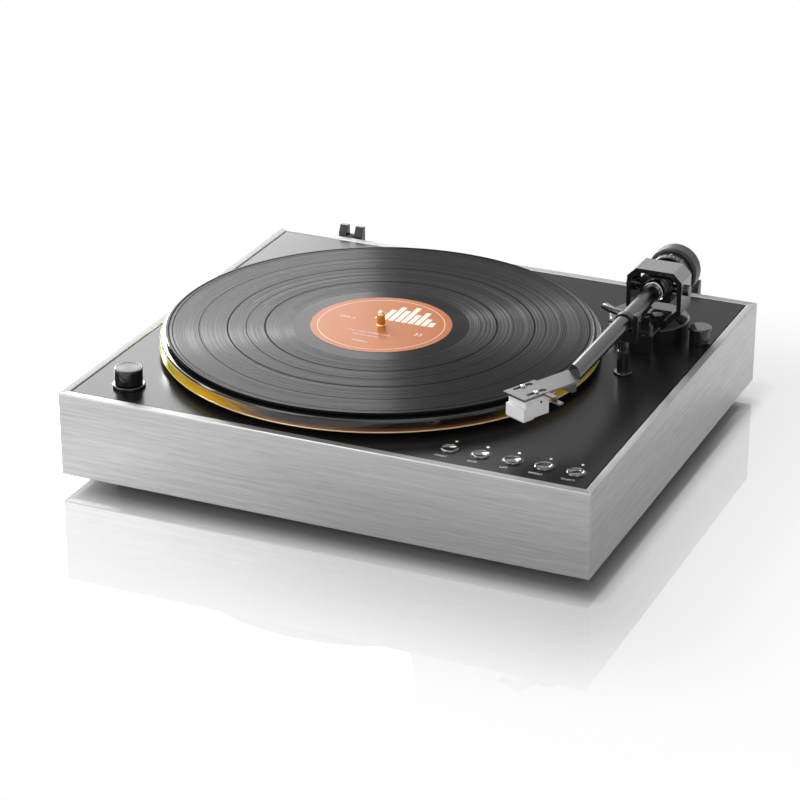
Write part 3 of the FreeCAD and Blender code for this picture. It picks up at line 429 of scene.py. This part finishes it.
def amber_acrylic(foot, thick):
    """Amber acrylic with painted light: a painted yellow glow where light would cross its rim, painted brown
    shade with a dark top in front, and a painted highlight on the lip.
    """
    made = Finish("amber_acrylic", Subsurface_Weight=0.5, Subsurface_Scale=2.0 * MM, Coat_Weight=0.6)
    made.shader.inputs["Subsurface Radius"].default_value = (1.0, 0.45, 0.05)
    x, y, z = made.parts(made.place(centre=foot))
    facing = (x * AMBER_FRONT[0] + y * AMBER_FRONT[1]) / distance(x, y)
    clouds = made.noise(made.place(), 25.0, 2.0)
    height = z / thick + clouds * 0.1
    # Painted shade: brown in front, darkening to near black towards the top of the rim.
    painted_shade_brown = made.mix(made.fade(height, 0.05, 0.52), colour(0.34, 0.115, 0.020), colour(0.012, 0.004, 0.002))
    # Painted glow: golden where light would cross the rim, darker towards the top.
    painted_glow_golden = made.mix(made.fade(height, 0.30, 1.0), colour(1.0, 0.60, 0.030), colour(0.66, 0.30, 0.020))
    # Painted light by the way the rim faces: brown shade in front, golden and then yellow glow to the sides,
    # golden again behind.
    painted_glow_and_shade = made.mix(made.fade(facing, *BROWN_TO_GOLDEN), painted_shade_brown, painted_glow_golden)
    body = made.mix(made.fade(facing, *GOLDEN_TO_YELLOW), painted_glow_and_shade, colour(1.0, 0.80, 0.05))
    body = made.mix(made.fade(facing, *YELLOW_TO_GOLDEN), body, painted_glow_golden)
    # Painted highlight: a pale line on the lip at the foot, in front.
    painted_lip_highlight = made.fade(z, *LIP_HIGHLIGHT_FADES) * made.fade(facing, *LIP_HIGHLIGHT_FRONT)
    made.set("Base Color", made.mix(painted_lip_highlight, body, colour(0.95, 0.66, 0.38)))
    made.set("Roughness", clouds * 0.04 + 0.10)
    return made.material


# Mesh work

FLAT = math.radians(0.6)
WELD = 0.002 * MM


def from_cad(node):
    """A merged copy of a node's mesh, with flat faces joined."""
    bm = bmesh.new()
    bm.from_mesh(frame["nodes"][node].data)
    bmesh.ops.remove_doubles(bm, verts=bm.verts, dist=WELD)
    bmesh.ops.dissolve_limit(bm, angle_limit=FLAT, verts=bm.verts, edges=bm.edges)
    return bm


def ease_edges(bm, width, steps=2):
    sharp = [e for e in bm.edges if len(e.link_faces) == 2 and e.calc_face_angle(0.0) > SHARP]
    bmesh.ops.bevel(
        bm, geom=sharp, offset=width, offset_type="OFFSET", segments=steps, profile=0.5, affect="EDGES",
        clamp_overlap=True, material=-1)


def spun(profile, steps=ROUND):
    """A shape turned about Z from radius, height points; a first and last point on the axis close it."""
    bm = bmesh.new()
    verts = [bm.verts.new((r, 0.0, z)) for r, z in profile]
    edges = [bm.edges.new(pair) for pair in zip(verts, verts[1:])]
    if profile[0][0] > 0:
        edges.append(bm.edges.new((verts[-1], verts[0])))
    bmesh.ops.spin(
        bm, geom=verts + edges, cent=(0, 0, 0), axis=(0, 0, 1), angle=2 * math.pi, steps=steps,
        use_merge=True, use_duplicate=False)
    bmesh.ops.remove_doubles(bm, verts=bm.verts, dist=WELD / 2)
    bmesh.ops.recalc_face_normals(bm, faces=bm.faces)
    return bm


def turn_shape(bm, angle, axis):
    bmesh.ops.rotate(bm, verts=bm.verts, cent=(0, 0, 0), matrix=Matrix.Rotation(angle, 3, axis))


def move_shape(bm, way):
    bmesh.ops.translate(bm, verts=bm.verts, vec=way)


def add_tube(bm, start, end, radius, steps=16):
    """A plain round bar between two places, added to a shape."""
    line = end - start
    turn = line.to_track_quat("Z", "Y").to_matrix().to_4x4()
    bmesh.ops.create_cone(
        bm, cap_ends=True, cap_tris=False, segments=steps, radius1=radius, radius2=radius, depth=line.length,
        matrix=Matrix.Translation((start + end) / 2) @ turn)


def slab(length, width, thick):
    """A flat bar centred on its own middle."""
    bm = bmesh.new()
    bmesh.ops.create_cube(bm, size=1.0)
    bmesh.ops.scale(bm, verts=bm.verts, vec=(length, width, thick))
    return bm


def as_mesh(name, bm):
    mesh = bpy.data.meshes.new(name)
    bm.to_mesh(mesh)
    bm.free()
    return mesh


# Pieces

BODY_OF = {node: body for body, nodes in frame["record"]["behaviour"]["bodies"].items() for node in nodes}


def piece(name, bm, body, finish, nodes=(), angle=SHARP):
    """Make a shape a piece that rides on a body and stands for its nodes."""
    for face in bm.faces:
        face.smooth = True
    for edge in bm.edges:
        edge.smooth = len(edge.link_faces) != 2 or edge.calc_face_angle(0.0) < angle
    mesh = as_mesh(name, bm)
    finishes = finish if isinstance(finish, tuple) else (finish,)
    for one in finishes:
        mesh.materials.append(one)
    made = bpy.data.objects.new(name, mesh)
    bpy.context.scene.collection.objects.link(made)
    if finishes[0] not in GRAINED:
        even = made.modifiers.new("even", "WEIGHTED_NORMAL")
        even.keep_sharp = True
    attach(made, body)
    if nodes:
        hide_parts(*nodes)
    return made


def own_piece(node, bm, finish):
    """Stand a shape in for one node, on that node's body."""
    return piece(node + "_shape", bm, BODY_OF[node], finish, [node])


def eased_copy(node, finish, width):
    """A node's own shape with softened edges, in its place."""
    bm = from_cad(node)
    if width:
        ease_edges(bm, width * MM)
    return own_piece(node, bm, finish)


def dress(node, finish):
    """Give a node that stays as it is its finish."""
    mesh = frame["nodes"][node].data
    mesh.materials.clear()
    mesh.materials.append(finish)


def middle(node):
    low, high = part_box(node)
    return (low + high) / 2


def size_mm(node):
    low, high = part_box(node)
    return (high - low) / MM


# Finishes

RECORD_CENTRE = middle("record_disc")
PLATTER_FOOT = Vector((*middle("platter").xy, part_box("platter")[0].z))
PANEL = brushed_metal("panel_finish", 0.52, "x")
SIDE_PANEL = brushed_metal("side_panel_finish", 0.52, "y")
PANEL_EDGE = satin_metal("panel_edge", 0.32, 0.62, strength=0.05)
DECK = deck_finish()
GLOSS_BLACK = moulded("gloss_black", colour(0.012, 0.012, 0.013), 0.11, coat=0.5)
MATT_BLACK = moulded("matt_black", colour(0.016, 0.016, 0.017), 0.34)
FRAME_GREY = satin_metal("frame_grey", 0.28, 0.26, grain=9000.0, strength=0.03)
SHELL_GREY = satin_metal("shell_grey", 0.17, 0.34, grain=2600.0, strength=0.02)
TUBE_GREY = satin_metal("tube_grey", 0.11, 0.21, grain=4000.0, strength=0.01)
BRIGHT = polished("bright_metal", grey(0.82))
SATIN = satin_metal("satin_metal", 0.55, 0.26)
BUTTON = polished("button_metal", grey(0.20), 0.10)
BRASS = polished("brass", colour(0.86, 0.56, 0.24), 0.14)
RUBBER = moulded("rubber", grey(0.020), 0.62)
BELT = moulded("belt_rubber", grey(0.016), 0.5)
WHITE = moulded("cartridge_white", grey(0.90), 0.30)
STEEL = satin_metal("steel", 0.50, 0.30)
CHASSIS = satin_metal("chassis_steel", 0.10, 0.42)
BOARD = moulded("board_green", colour(0.02, 0.13, 0.06), 0.40)
VINYL = vinyl_finish(RECORD_CENTRE)
LABEL = label_paper(RECORD_CENTRE)
AMBER = amber_acrylic(PLATTER_FOOT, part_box("platter")[1].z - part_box("platter")[0].z)
PRINT = printed("white_print", 0.80)
LAMP = lamp_glow()
PALE_INK = printed("pale_ink", 0.62)
DARK_METAL = satin_metal("dark_metal", 0.10, 0.22, strength=0.03)
GOLD_LEAD = moulded("gold_lead", colour(0.85, 0.62, 0.28), 0.35)
KNOB_TOP = turned_face("knob_top", grey(0.13), middle("selector_cap"))
GRAINED = (PANEL, SIDE_PANEL, VINYL, KNOB_TOP)


# Turned pieces, from radius and height points in millimetres

def lathe(name, node, profile, finish, axis="z", stands_for=True, steps=ROUND, angle=SHARP):
    """A turned piece on a node's own centre line; heights count from the node's low end."""
    low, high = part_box(node)
    place = (low + high) / 2
    along = "xyz".index(axis)
    place[along] = low[along]
    bm = spun([(r * MM, z * MM) for r, z in profile], steps)
    if axis == "y":
        turn_shape(bm, math.radians(-90), "X")
    move_shape(bm, place)
    nodes = [node] if stands_for else ()
    return piece(name, bm, BODY_OF[node], finish, nodes, angle)


def rounded(profile, corners, radius, steps=3):
    """The same outline, with the numbered corners rounded."""
    out = []
    for i, point in enumerate(profile):
        if i not in corners:
            out.append(point)
            continue
        here = Vector(point)
        before = Vector(profile[i - 1]) - here
        after = Vector(profile[(i + 1) % len(profile)]) - here
        r = min(radius, before.length / 2, after.length / 2)
        a, b = here + before.normalized() * r, here + after.normalized() * r
        for k in range(steps + 1):
            t = k / steps
            q = (1 - t) ** 2 * a + 2 * t * (1 - t) * here + t ** 2 * b
            out.append((q.x, q.y))
    return out


TOP_SHADE_LAYER = 1.3


def platter_pieces():
    """The amber disc with a lip at its foot, and a gloss black layer on it, whose black is painted shade for
    the dark upper rim while its bevel gives a real reflection.
    """
    size = size_mm("platter")
    r, t = size.x / 2, size.z
    seam = t - TOP_SHADE_LAYER
    disc = [(SPINDLE_HOLE, 0), (r - 0.3, 0), (r, 0.25), (r, 0.7), (r - 0.35, 1.0), (r - 0.35, seam - 0.3)]
    disc += [(r - 0.6, seam), (SPINDLE_HOLE, seam)]
    lathe("platter_disc", "platter", rounded(disc, (5,), 0.3), AMBER)
    # Painted shade: the black of this layer stands in for the dark upper part of the amber rim; the bevel's
    # reflection is real.
    layer = [(SPINDLE_HOLE, seam), (r - 0.7, seam), (r - 0.7, t - 0.9), (r - 1.6, t), (SPINDLE_HOLE, t)]
    layer = rounded(layer, (2, 3), 0.3)
    lathe("platter_top_shade_layer", "platter", layer, GLOSS_BLACK, stands_for=False)


def mat_piece():
    size = size_mm("platter_mat")
    r, t = size.x / 2, size.z
    outline = [(SPINDLE_HOLE, 0.03), (r, 0.03), (r, t), (SPINDLE_HOLE, t)]
    lathe("mat", "platter_mat", rounded(outline, (2,), 0.5), RUBBER)


def sub_platter_pieces():
    """The brass spindle, narrower above the label, and the belt's wheel under the platter."""
    low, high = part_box("sub_platter")
    floor = (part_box("platter")[0].z - low.z) / MM
    tip = (high.z - low.z) / MM
    seat = (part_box("record_label")[1].z - low.z) / MM
    spindle = [(0, floor), (3.6, floor), (3.6, seat), (3.0, seat + 0.6), (3.0, tip - 2.6)]
    spindle += [(2.4, tip - 1.0), (1.1, tip), (0, tip)]
    lathe("spindle", "sub_platter", rounded(spindle, (4, 5, 6), 1.2), BRASS)
    wheel = [(0, 0), (5, 0), (5, 30), (65, 30), (65, 42), (36, 42), (36, floor), (0, floor)]
    lathe("sub_platter_wheel", "sub_platter", rounded(wheel, (1, 3, 4, 6), 0.5), SATIN)


def record_piece():
    """The disc: a raised rim, tracks with gaps between them, and a raised middle for the label."""
    size = size_mm("record_disc")
    r, t = size.x / 2, size.z
    low = t - 0.3
    outline = [(SPINDLE_HOLE, 0), (r - 0.8, 0), (r - 0.2, 0.35), (r, 0.9), (r - 0.12, t - 0.25), (r - 0.5, t)]
    outline += [(r - 1.6, t), (r - 2.6, low + 0.03), (r - 3.4, low)]
    for gap in TRACK_GAPS:
        outline += [(gap + 0.5, low), (gap + 0.15, low - 0.05), (gap - 0.15, low - 0.05), (gap - 0.5, low)]
    outline += [(60.0, low), (53.0, t - 0.15), (SPINDLE_HOLE, t - 0.15)]
    lathe("record_vinyl", "record_disc", outline, VINYL, steps=256, angle=math.radians(4))


# The label's words: name, text, letter height and place from the label's centre, in millimetres

LABEL_WORDS = (
    ("label_word_side", "SIDE A", 4.2, -27, 3),
    ("label_word_speed", "33", 6.5, 31, -7),
    ("label_word_line_1", "ONE TWO THREE FOUR", 3.0, -2, -17),
    ("label_word_line_2", "FIVE SIX SEVEN", 3.0, -2, -22.5),
    ("label_word_line_3", "STEREO", 3.4, -2, -33),
)
LABEL_THICK = 0.15
CLEAR_OF_FACE = 0.01 * MM


def label_pieces():
    r, t = LABEL_RADIUS, LABEL_THICK
    outline = [(SPINDLE_HOLE, 0), (r, 0), (r, 0.1), (r - 0.1, t), (SPINDLE_HOLE, t)]
    lathe("label", "record_label", outline, LABEL)
    low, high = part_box("record_label")
    hub = Vector(((low.x + high.x) / 2, (low.y + high.y) / 2, high.z + CLEAR_OF_FACE))
    for name, text, height, x, y in LABEL_WORDS:
        words(name, text, height * MM, hub + Vector((x * MM, y * MM, 0)), BODY_OF["record_label"], PALE_INK)


def lettering(text, height):
    """Printed letters a hair thick, lying flat and centred."""
    data = bpy.data.curves.new("letters", "FONT")
    data.body = text
    data.size = height
    data.extrude = 0.01 * MM
    data.align_x = "CENTER"
    data.align_y = "CENTER"
    typed = bpy.data.objects.new("letters_typed", data)
    bpy.context.scene.collection.objects.link(typed)
    bpy.context.view_layer.update()
    mesh = bpy.data.meshes.new_from_object(typed)
    bpy.data.objects.remove(typed)
    bm = bmesh.new()
    bm.from_mesh(mesh)
    return bm


def words(name, text, height, at, body, finish):
    """Words printed on an upper face, centred on a place."""
    bm = lettering(text, height)
    move_shape(bm, at)
    return piece(name, bm, body, finish)


# Buttons: their words, the lamps that are lit, and sizes and places from a button's centre, in millimetres

BUTTON_WORDS = ("START", "STOP", "LIFT", "REPEAT", "SELECT")
BUTTON_WORD_HEIGHT = 2.9
BUTTON_WORD_AT = (-1.5, -11.6)
LIT_LAMPS = (2, 3)
LAMP_BEHIND = 12.4
LAMP_DOME = ((0, 0), (1.0, 0), (0.85, 0.28), (0.5, 0.42), (0, 0.48))
DISH_RADIUS = 5.0
DISH_DEPTH = 0.7
DISH_STEPS = (0.35, 0.7, 1.05, 1.35)


def button_pieces():
    """Each button with its dished cap, the word in front of it and the lamp behind it."""
    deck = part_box("deck_plate")[1].z
    for i, text in enumerate(BUTTON_WORDS, 1):
        node = "button_%d" % i
        top = size_mm(node).z
        outline = [(0, 0), (2, 0), (2, 2.9), (7.6, 2.9), (7.6, 3.9), (6.3, 3.9), (6.3, top - 0.5), (5.8, top)]
        outline += [(DISH_RADIUS, top)]
        outline += [(DISH_RADIUS * math.cos(a), top - DISH_DEPTH * math.sin(a)) for a in DISH_STEPS]
        outline += [(0, top - DISH_DEPTH)]
        lathe("button_cap_%d" % i, node, rounded(outline, (6, 7), 0.35), BUTTON, steps=96)
        place = Vector((middle(node).x, middle(node).y, deck))
        at = place + Vector((BUTTON_WORD_AT[0] * MM, BUTTON_WORD_AT[1] * MM, CLEAR_OF_FACE))
        words("button_word_%d" % i, text, BUTTON_WORD_HEIGHT * MM, at, "base", PRINT)
        lens = spun([(r * MM, z * MM) for r, z in LAMP_DOME], 32)
        move_shape(lens, place + Vector((0, LAMP_BEHIND * MM, 0)))
        piece("lamp_lens_%d" % i, lens, "base", LAMP if i in LIT_LAMPS else WHITE)


# Selector knob, in millimetres

KNOB_RADIUS = 9.7
KNOB_GRIP_HEIGHT = 11.0
KNOB_FACE = 8.9


def knob_pieces():
    """The selector knob with its sunk turned face, on its switch."""
    r = KNOB_RADIUS
    top = size_mm("selector_knob").z
    low = top - KNOB_GRIP_HEIGHT
    outline = [(0, 0), (3.0, 0), (3.0, low), (r - 0.5, low), (r, low + 0.5), (r, top - 0.5), (r - 0.5, top)]
    outline += [(KNOB_FACE, top), (KNOB_FACE, top - 0.9), (0, top - 0.9)]
    lathe("knob_body", "selector_knob", rounded(outline, (3, 4, 5, 6), 0.5), GLOSS_BLACK)
    outline = [(0, 0), (KNOB_FACE, 0), (KNOB_FACE, 0.85), (8.6, 1.15), (7.6, 1.15), (7.4, 1.0), (0, 1.0)]
    lathe("knob_face", "selector_cap", outline, KNOB_TOP)
    eased_copy("selector_switch", GLOSS_BLACK, 0.3)


# Counterweight and its dial: the bore and the marks round the dial, in millimetres

STUB_BORE = 4.55
DIAL_MARKS = 30
MARKS_TO_A_NUMBER = 3
NUMBER_HEIGHT = 3.6
NUMBER_ACROSS = 5.2
MARK_WIDTH = 0.45
LONG_MARK = (2.2, 1.9)
SHORT_MARK = (1.3, 1.45)


def weight_pieces():
    size = size_mm("counterweight")
    r, t = size.x / 2, size.y
    outline = [(STUB_BORE, 0), (r - 3.4, 0), (r - 3.0, 0.5), (r - 1.6, 0.5), (r, 1.9), (r, t - 1.6)]
    outline += [(r - 1.6, t), (STUB_BORE, t)]
    lathe("weight_body", "counterweight", rounded(outline, (1, 3, 4, 5, 6), 0.4), MATT_BLACK, axis="y")
    size = size_mm("force_dial")
    r, t = size.x / 2, size.y
    outline = [(STUB_BORE, 0), (r - 0.8, 0), (r, 0.8), (r, t), (STUB_BORE, t)]
    lathe("dial_ring", "force_dial", rounded(outline, (1, 2), 0.4), DARK_METAL, axis="y")
    dial_marks(r + 0.03)


def dial_marks(radius):
    """Lines and numerals printed round the dial's rim, whose axle runs along Y."""
    whole = bmesh.new()

    def stamp(bm, across, around):
        move_shape(bm, (0, across * MM, radius * MM))
        turn_shape(bm, around, "Y")
        mesh = as_mesh("mark", bm)
        whole.from_mesh(mesh)
        bpy.data.meshes.remove(mesh)

    for k in range(DIAL_MARKS):
        around = k * math.tau / DIAL_MARKS
        numbered = k % MARKS_TO_A_NUMBER == 0
        length, across = LONG_MARK if numbered else SHORT_MARK
        stamp(slab(MARK_WIDTH * MM, length * MM, 0.04 * MM), across, around)
        if numbered:
            stamp(lettering(str(k // MARKS_TO_A_NUMBER), NUMBER_HEIGHT * MM), NUMBER_ACROSS, around)
    centre = middle("force_dial")
    move_shape(whole, (centre.x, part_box("force_dial")[0].y, centre.z))
    piece("dial_marks", whole, BODY_OF["force_dial"], PRINT)


def antiskate_piece():
    top = size_mm("antiskate_knob").z
    outline = [(0, 0), (3.0, 0), (3.0, 12.1), (7.3, 12.1), (7.3, top - 2.6), (8.2, top - 2.1)]
    outline += [(8.2, top - 0.5), (7.7, top), (0, top)]
    lathe("antiskate_body", "antiskate_knob", rounded(outline, (3, 5, 6, 7), 0.4), GLOSS_BLACK)


def cartridge_screws():
    """Two round heads, each with a sunk socket."""
    shank, head, socket = 1.2, 1.75, 0.8
    for side in "lr":
        node = "cartridge_screw_" + side
        top = size_mm(node).z
        outline = [(0, 0), (shank, 0), (shank, top - 1.5), (head, top - 1.5), (head, top - 0.7)]
        outline += [(1.5, top - 0.4), (socket, top - 0.4), (socket, top - 1.1), (0, top - 1.1)]
        lathe("cartridge_screw_head_" + side, node, rounded(outline, (5,), 0.3), BRIGHT, steps=48)


# Cartridge wiring, in millimetres ahead of the screws, to a side and down from the headshell

PIN_SIDES = (-3.6, 3.6)
PIN_DROPS = (4.0, 8.5)
PIN_ENDS = (-9.9, -14.1)
PIN_RADIUS = 0.75
WIRE_RADIUS = 0.38
HOLE_AHEAD = -3.0
HOLE_DOWN = 5.2
HOLE_RADIUS = 1.0
HOLE_ENDS = (8.0, 8.13)
SHELL_THICKNESS = 1.6


def shell_point(ahead, side, down):
    """A place under the headshell, which lies at an angle to the case."""
    left, right = middle("cartridge_screw_l"), middle("cartridge_screw_r")
    across = (right - left).normalized()
    forward = Vector((across.y, -across.x, 0))
    p = (left + right) / 2 + forward * ahead * MM + across * side * MM
    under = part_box("headshell")[1].z - SHELL_THICKNESS * MM
    return Vector((p.x, p.y, under - down * MM))


def cartridge_wiring():
    """Four pins with their leads at the cartridge's back, and a black disc in each of its sides, painted
    shade for a hole.
    """
    pins = bmesh.new()
    wires = bmesh.new()
    for side in PIN_SIDES:
        for down in PIN_DROPS:
            add_tube(pins, *(shell_point(ahead, side, down) for ahead in PIN_ENDS), PIN_RADIUS * MM)
            path = [shell_point(-13.5, side, down), shell_point(-16.5, side * 0.9, down - 0.4),
                    shell_point(-19.0, side * 0.6, down * 0.8), shell_point(-22.0, side * 0.4, down * 0.6)]
            for a, b in zip(path, path[1:]):
                add_tube(wires, a, b, WIRE_RADIUS * MM)
    piece("cartridge_pins", pins, BODY_OF["cartridge"], BRASS)
    piece("cartridge_leads", wires, BODY_OF["cartridge"], GOLD_LEAD)
    # Painted shade: a short black disc in each side of the cartridge, where a hole would be; no hole is cut.
    hole_shades = bmesh.new()
    for way in (1, -1):
        ends = (shell_point(HOLE_AHEAD, way * out, HOLE_DOWN) for out in HOLE_ENDS)
        add_tube(hole_shades, *ends, HOLE_RADIUS * MM)
    piece("cartridge_hole_shades", hole_shades, BODY_OF["cartridge"], GLOSS_BLACK)


def foot_pieces():
    outline = rounded([(0, 0), (18.6, 0), (20, 1.4), (20, 10), (0, 10)], (1, 2), 0.8)
    for corner in ("fl", "fr", "bl", "br"):
        lathe("foot_pad_" + corner, "foot_" + corner, outline, RUBBER, steps=96)


# Pieces with the construction's own shapes

PANEL_ROUND = 1.1 * MM
FRAME_ROUND = 0.5 * MM
FACES_UP = 0.80
FACES_AN_END = 0.75


def panel_piece(side, finish):
    """A case panel with rounded edges, brushed on its face and blasted on its top edge."""
    node = side + "_panel"
    bm = from_cad(node)
    ease_edges(bm, PANEL_ROUND, 3)
    bm.normal_update()
    for face in bm.faces:
        face.material_index = 1 if face.normal.z > FACES_UP else 0
    own_piece(node, bm, (finish, PANEL_EDGE))


def gimbal_piece():
    """The gimbal's frame: satin grey outside, and gloss black in front, behind and inside, as painted shade
    and painted dark reflection.
    """
    node = "gimbal_frame"
    bm = from_cad(node)
    ease_edges(bm, FRAME_ROUND)
    bm.normal_update()
    axle = middle(node)
    for face in bm.faces:
        out = face.calc_center_median() - axle
        outward = face.normal.x * out.x + face.normal.z * out.z > 0
        # Faces toward the front, the back or the inside get gloss black: painted shade and painted dark
        # reflection.
        face.material_index = 0 if outward and abs(face.normal.y) < FACES_AN_END else 1
    own_piece(node, bm, (FRAME_GREY, GLOSS_BLACK))


# Nodes copied with softened edges: their finish and the edges' width in millimetres

EASED = {
    "pivot_block": (GLOSS_BLACK, 0.4), "arm_base": (GLOSS_BLACK, 0.45),
    "arm_spine": (BRIGHT, 0.2), "arm_tube": (TUBE_GREY, 0.15), "headshell": (SHELL_GREY, 0.22),
    "headshell_mount": (GLOSS_BLACK, 0.4), "cartridge": (WHITE, 0.35), "stylus": (WHITE, 0.3),
    "armrest": (GLOSS_BLACK, 0.35), "rest_clip": (MATT_BLACK, 0.2), "lift_bar": (GLOSS_BLACK, 0.3),
    "pivot_screw_l": (DARK_METAL, 0.3), "pivot_screw_r": (DARK_METAL, 0.3),
    "hinge_arm_l": (MATT_BLACK, 0.4), "hinge_arm_r": (MATT_BLACK, 0.4),
    "hinge_base_l": (MATT_BLACK, 0.4), "hinge_base_r": (MATT_BLACK, 0.4),
    "button_carrier": (GLOSS_BLACK, 0.1), "arm_shaft": (STEEL, 0.0), "socket_plate": (MATT_BLACK, 0.3),
    "signal_jacks": (BRASS, 0.2),
}

# Nodes that stay as they are, and their finish

PLAIN = {
    "deck_plate": DECK, "chassis_frame": CHASSIS, "bottom_tray": CHASSIS, "platter_bearing": STEEL,
    "motor": STEEL, "motor_pulley": BRASS, "belt": BELT, "control_board": BOARD, "arm_bearing": STEEL,
    "lift_solenoid": STEEL, "arm_motor": STEEL, "drive_pinion": BRASS,
}


# Floor, background and lights

FLOOR_RADIUS = 2.0
MIRROR_SHARE = 0.52
MIRROR_REACH = 0.166
FLOOR_IN_METAL = 0.15
ROOM_IN_METAL = 0.40
LAMPS_AIM_AT = Vector((0, 0, 0.05))

# Each lamp's azimuth, 0 at the back and 90 on the left, its height, distance, size and brightness

LAMPS = {
    "left_back_panel": (41.5, 1.15, 2.42, (1.45, 1.5), 7.5),
    "left_back_core": (54.0, 0.88, 2.15, (0.36, 0.6), 65.0),
    "left_panel": (94.0, 1.85, 2.5, (0.5, 0.5), 8.0),
    "front_left_panel": (135.0, 0.8, 2.6, (1.6, 1.3), 2.6),
    "front_right_panel": (212.0, 1.25, 2.3, (1.5, 1.1), 1.9),
    "edge_panel": (112.0, 2.30, 1.35, (1.9, 1.1), 2.2),
    "overhead_panel": (180.0, 2.3, 0.15, (2.4, 2.4), 0.6),
}


def floor_finish(case_corner):
    """White lacquer: a mirror close to the case, matt further off, and fading into the background."""
    made = Finish("white_floor", Roughness=0.9, Specular_IOR_Level=0.0)
    x, y, _ = made.parts(made.place())
    out_x = (x.size() - case_corner.x).at_least(0.0)
    out_y = (y.size() - case_corner.y).at_least(0.0)
    away = distance(out_x, out_y)
    tone = made.noise(made.place(), 3.0, 2.0)
    made.set("Base Color", made.mix(tone, grey(0.76), grey(0.74)))
    seen = made.seen(FLOOR_IN_METAL)
    white = made.add("ShaderNodeEmission", {}, {"Color": grey(1.0), "Strength": 1.0})
    pale = made.fade(away, 0.5 * MM, 18.0 * MM, 0.0, 0.95) * seen
    matt = made.blend(pale, made.own, white)
    mirror = made.add("ShaderNodeBsdfGlossy", {}, {"Color": grey(0.70), "Roughness": 0.0})
    lacquer = made.blend(made.fade(away, 0.0, MIRROR_REACH, MIRROR_SHARE, 0.0), matt, mirror)
    gone = made.fade(away, 0.10, 0.45) * seen
    made.surface(made.blend(gone, lacquer, made.add("ShaderNodeBsdfTransparent")))
    return made.material


def floor_piece(case_corner):
    bm = bmesh.new()
    bmesh.ops.create_circle(bm, cap_ends=True, segments=96, radius=FLOOR_RADIUS)
    mesh = as_mesh("floor", bm)
    mesh.materials.append(floor_finish(case_corner))
    floor = bpy.data.objects.new("floor", mesh)
    bpy.context.scene.collection.objects.link(floor)


def light_the_room():
    """White to the camera; metal and glass see a greyer room, paler low down, with a glowing back wall."""
    world = bpy.data.worlds.new("studio")
    world.use_nodes = True
    bpy.context.scene.world = world
    made = Recipe(world.node_tree)
    _, behind, up = made.parts(made.add("ShaderNodeTexCoord", out="Generated"))
    room = made.fade(up, -0.05, 0.45, 0.60, 0.14)
    wall = made.fade(behind * 0.92 + up * 0.39, 0.84, 0.97, 0.0, 0.8)
    shown = made.mix(made.seen(ROOM_IN_METAL), made.grey_of(room + wall), grey(1.0))
    made.feed(made.tree.nodes["Background"].inputs["Color"], shown)


def softbox(name, azimuth, height, away, size, brightness):
    """A flat lamp that shines at the middle of the case."""
    a = math.radians(azimuth)
    place = Vector((-math.sin(a) * away, math.cos(a) * away, height))
    data = bpy.data.lights.new(name, "AREA")
    data.shape = "RECTANGLE"
    data.size, data.size_y = size
    data.energy = brightness * math.pi * size[0] * size[1]
    lamp = bpy.data.objects.new(name, data)
    lamp.location = place
    lamp.rotation_euler = (LAMPS_AIM_AT - place).to_track_quat("-Z", "Y").to_euler()
    bpy.context.scene.collection.objects.link(lamp)


# The whole turntable, in its studio

place_camera()
platter_pieces()
mat_piece()
sub_platter_pieces()
record_piece()
label_pieces()
button_pieces()
knob_pieces()
weight_pieces()
antiskate_piece()
cartridge_screws()
cartridge_wiring()
foot_pieces()
for side in ("front", "rear"):
    panel_piece(side, PANEL)
for side in ("left", "right"):
    panel_piece(side, SIDE_PANEL)
gimbal_piece()
for node, (finish, width) in EASED.items():
    eased_copy(node, finish, width)
for node, finish in PLAIN.items():
    dress(node, finish)

case_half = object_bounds()[1]
light_the_room()
floor_piece(case_half)
for name, settings in LAMPS.items():
    softbox(name, *settings)
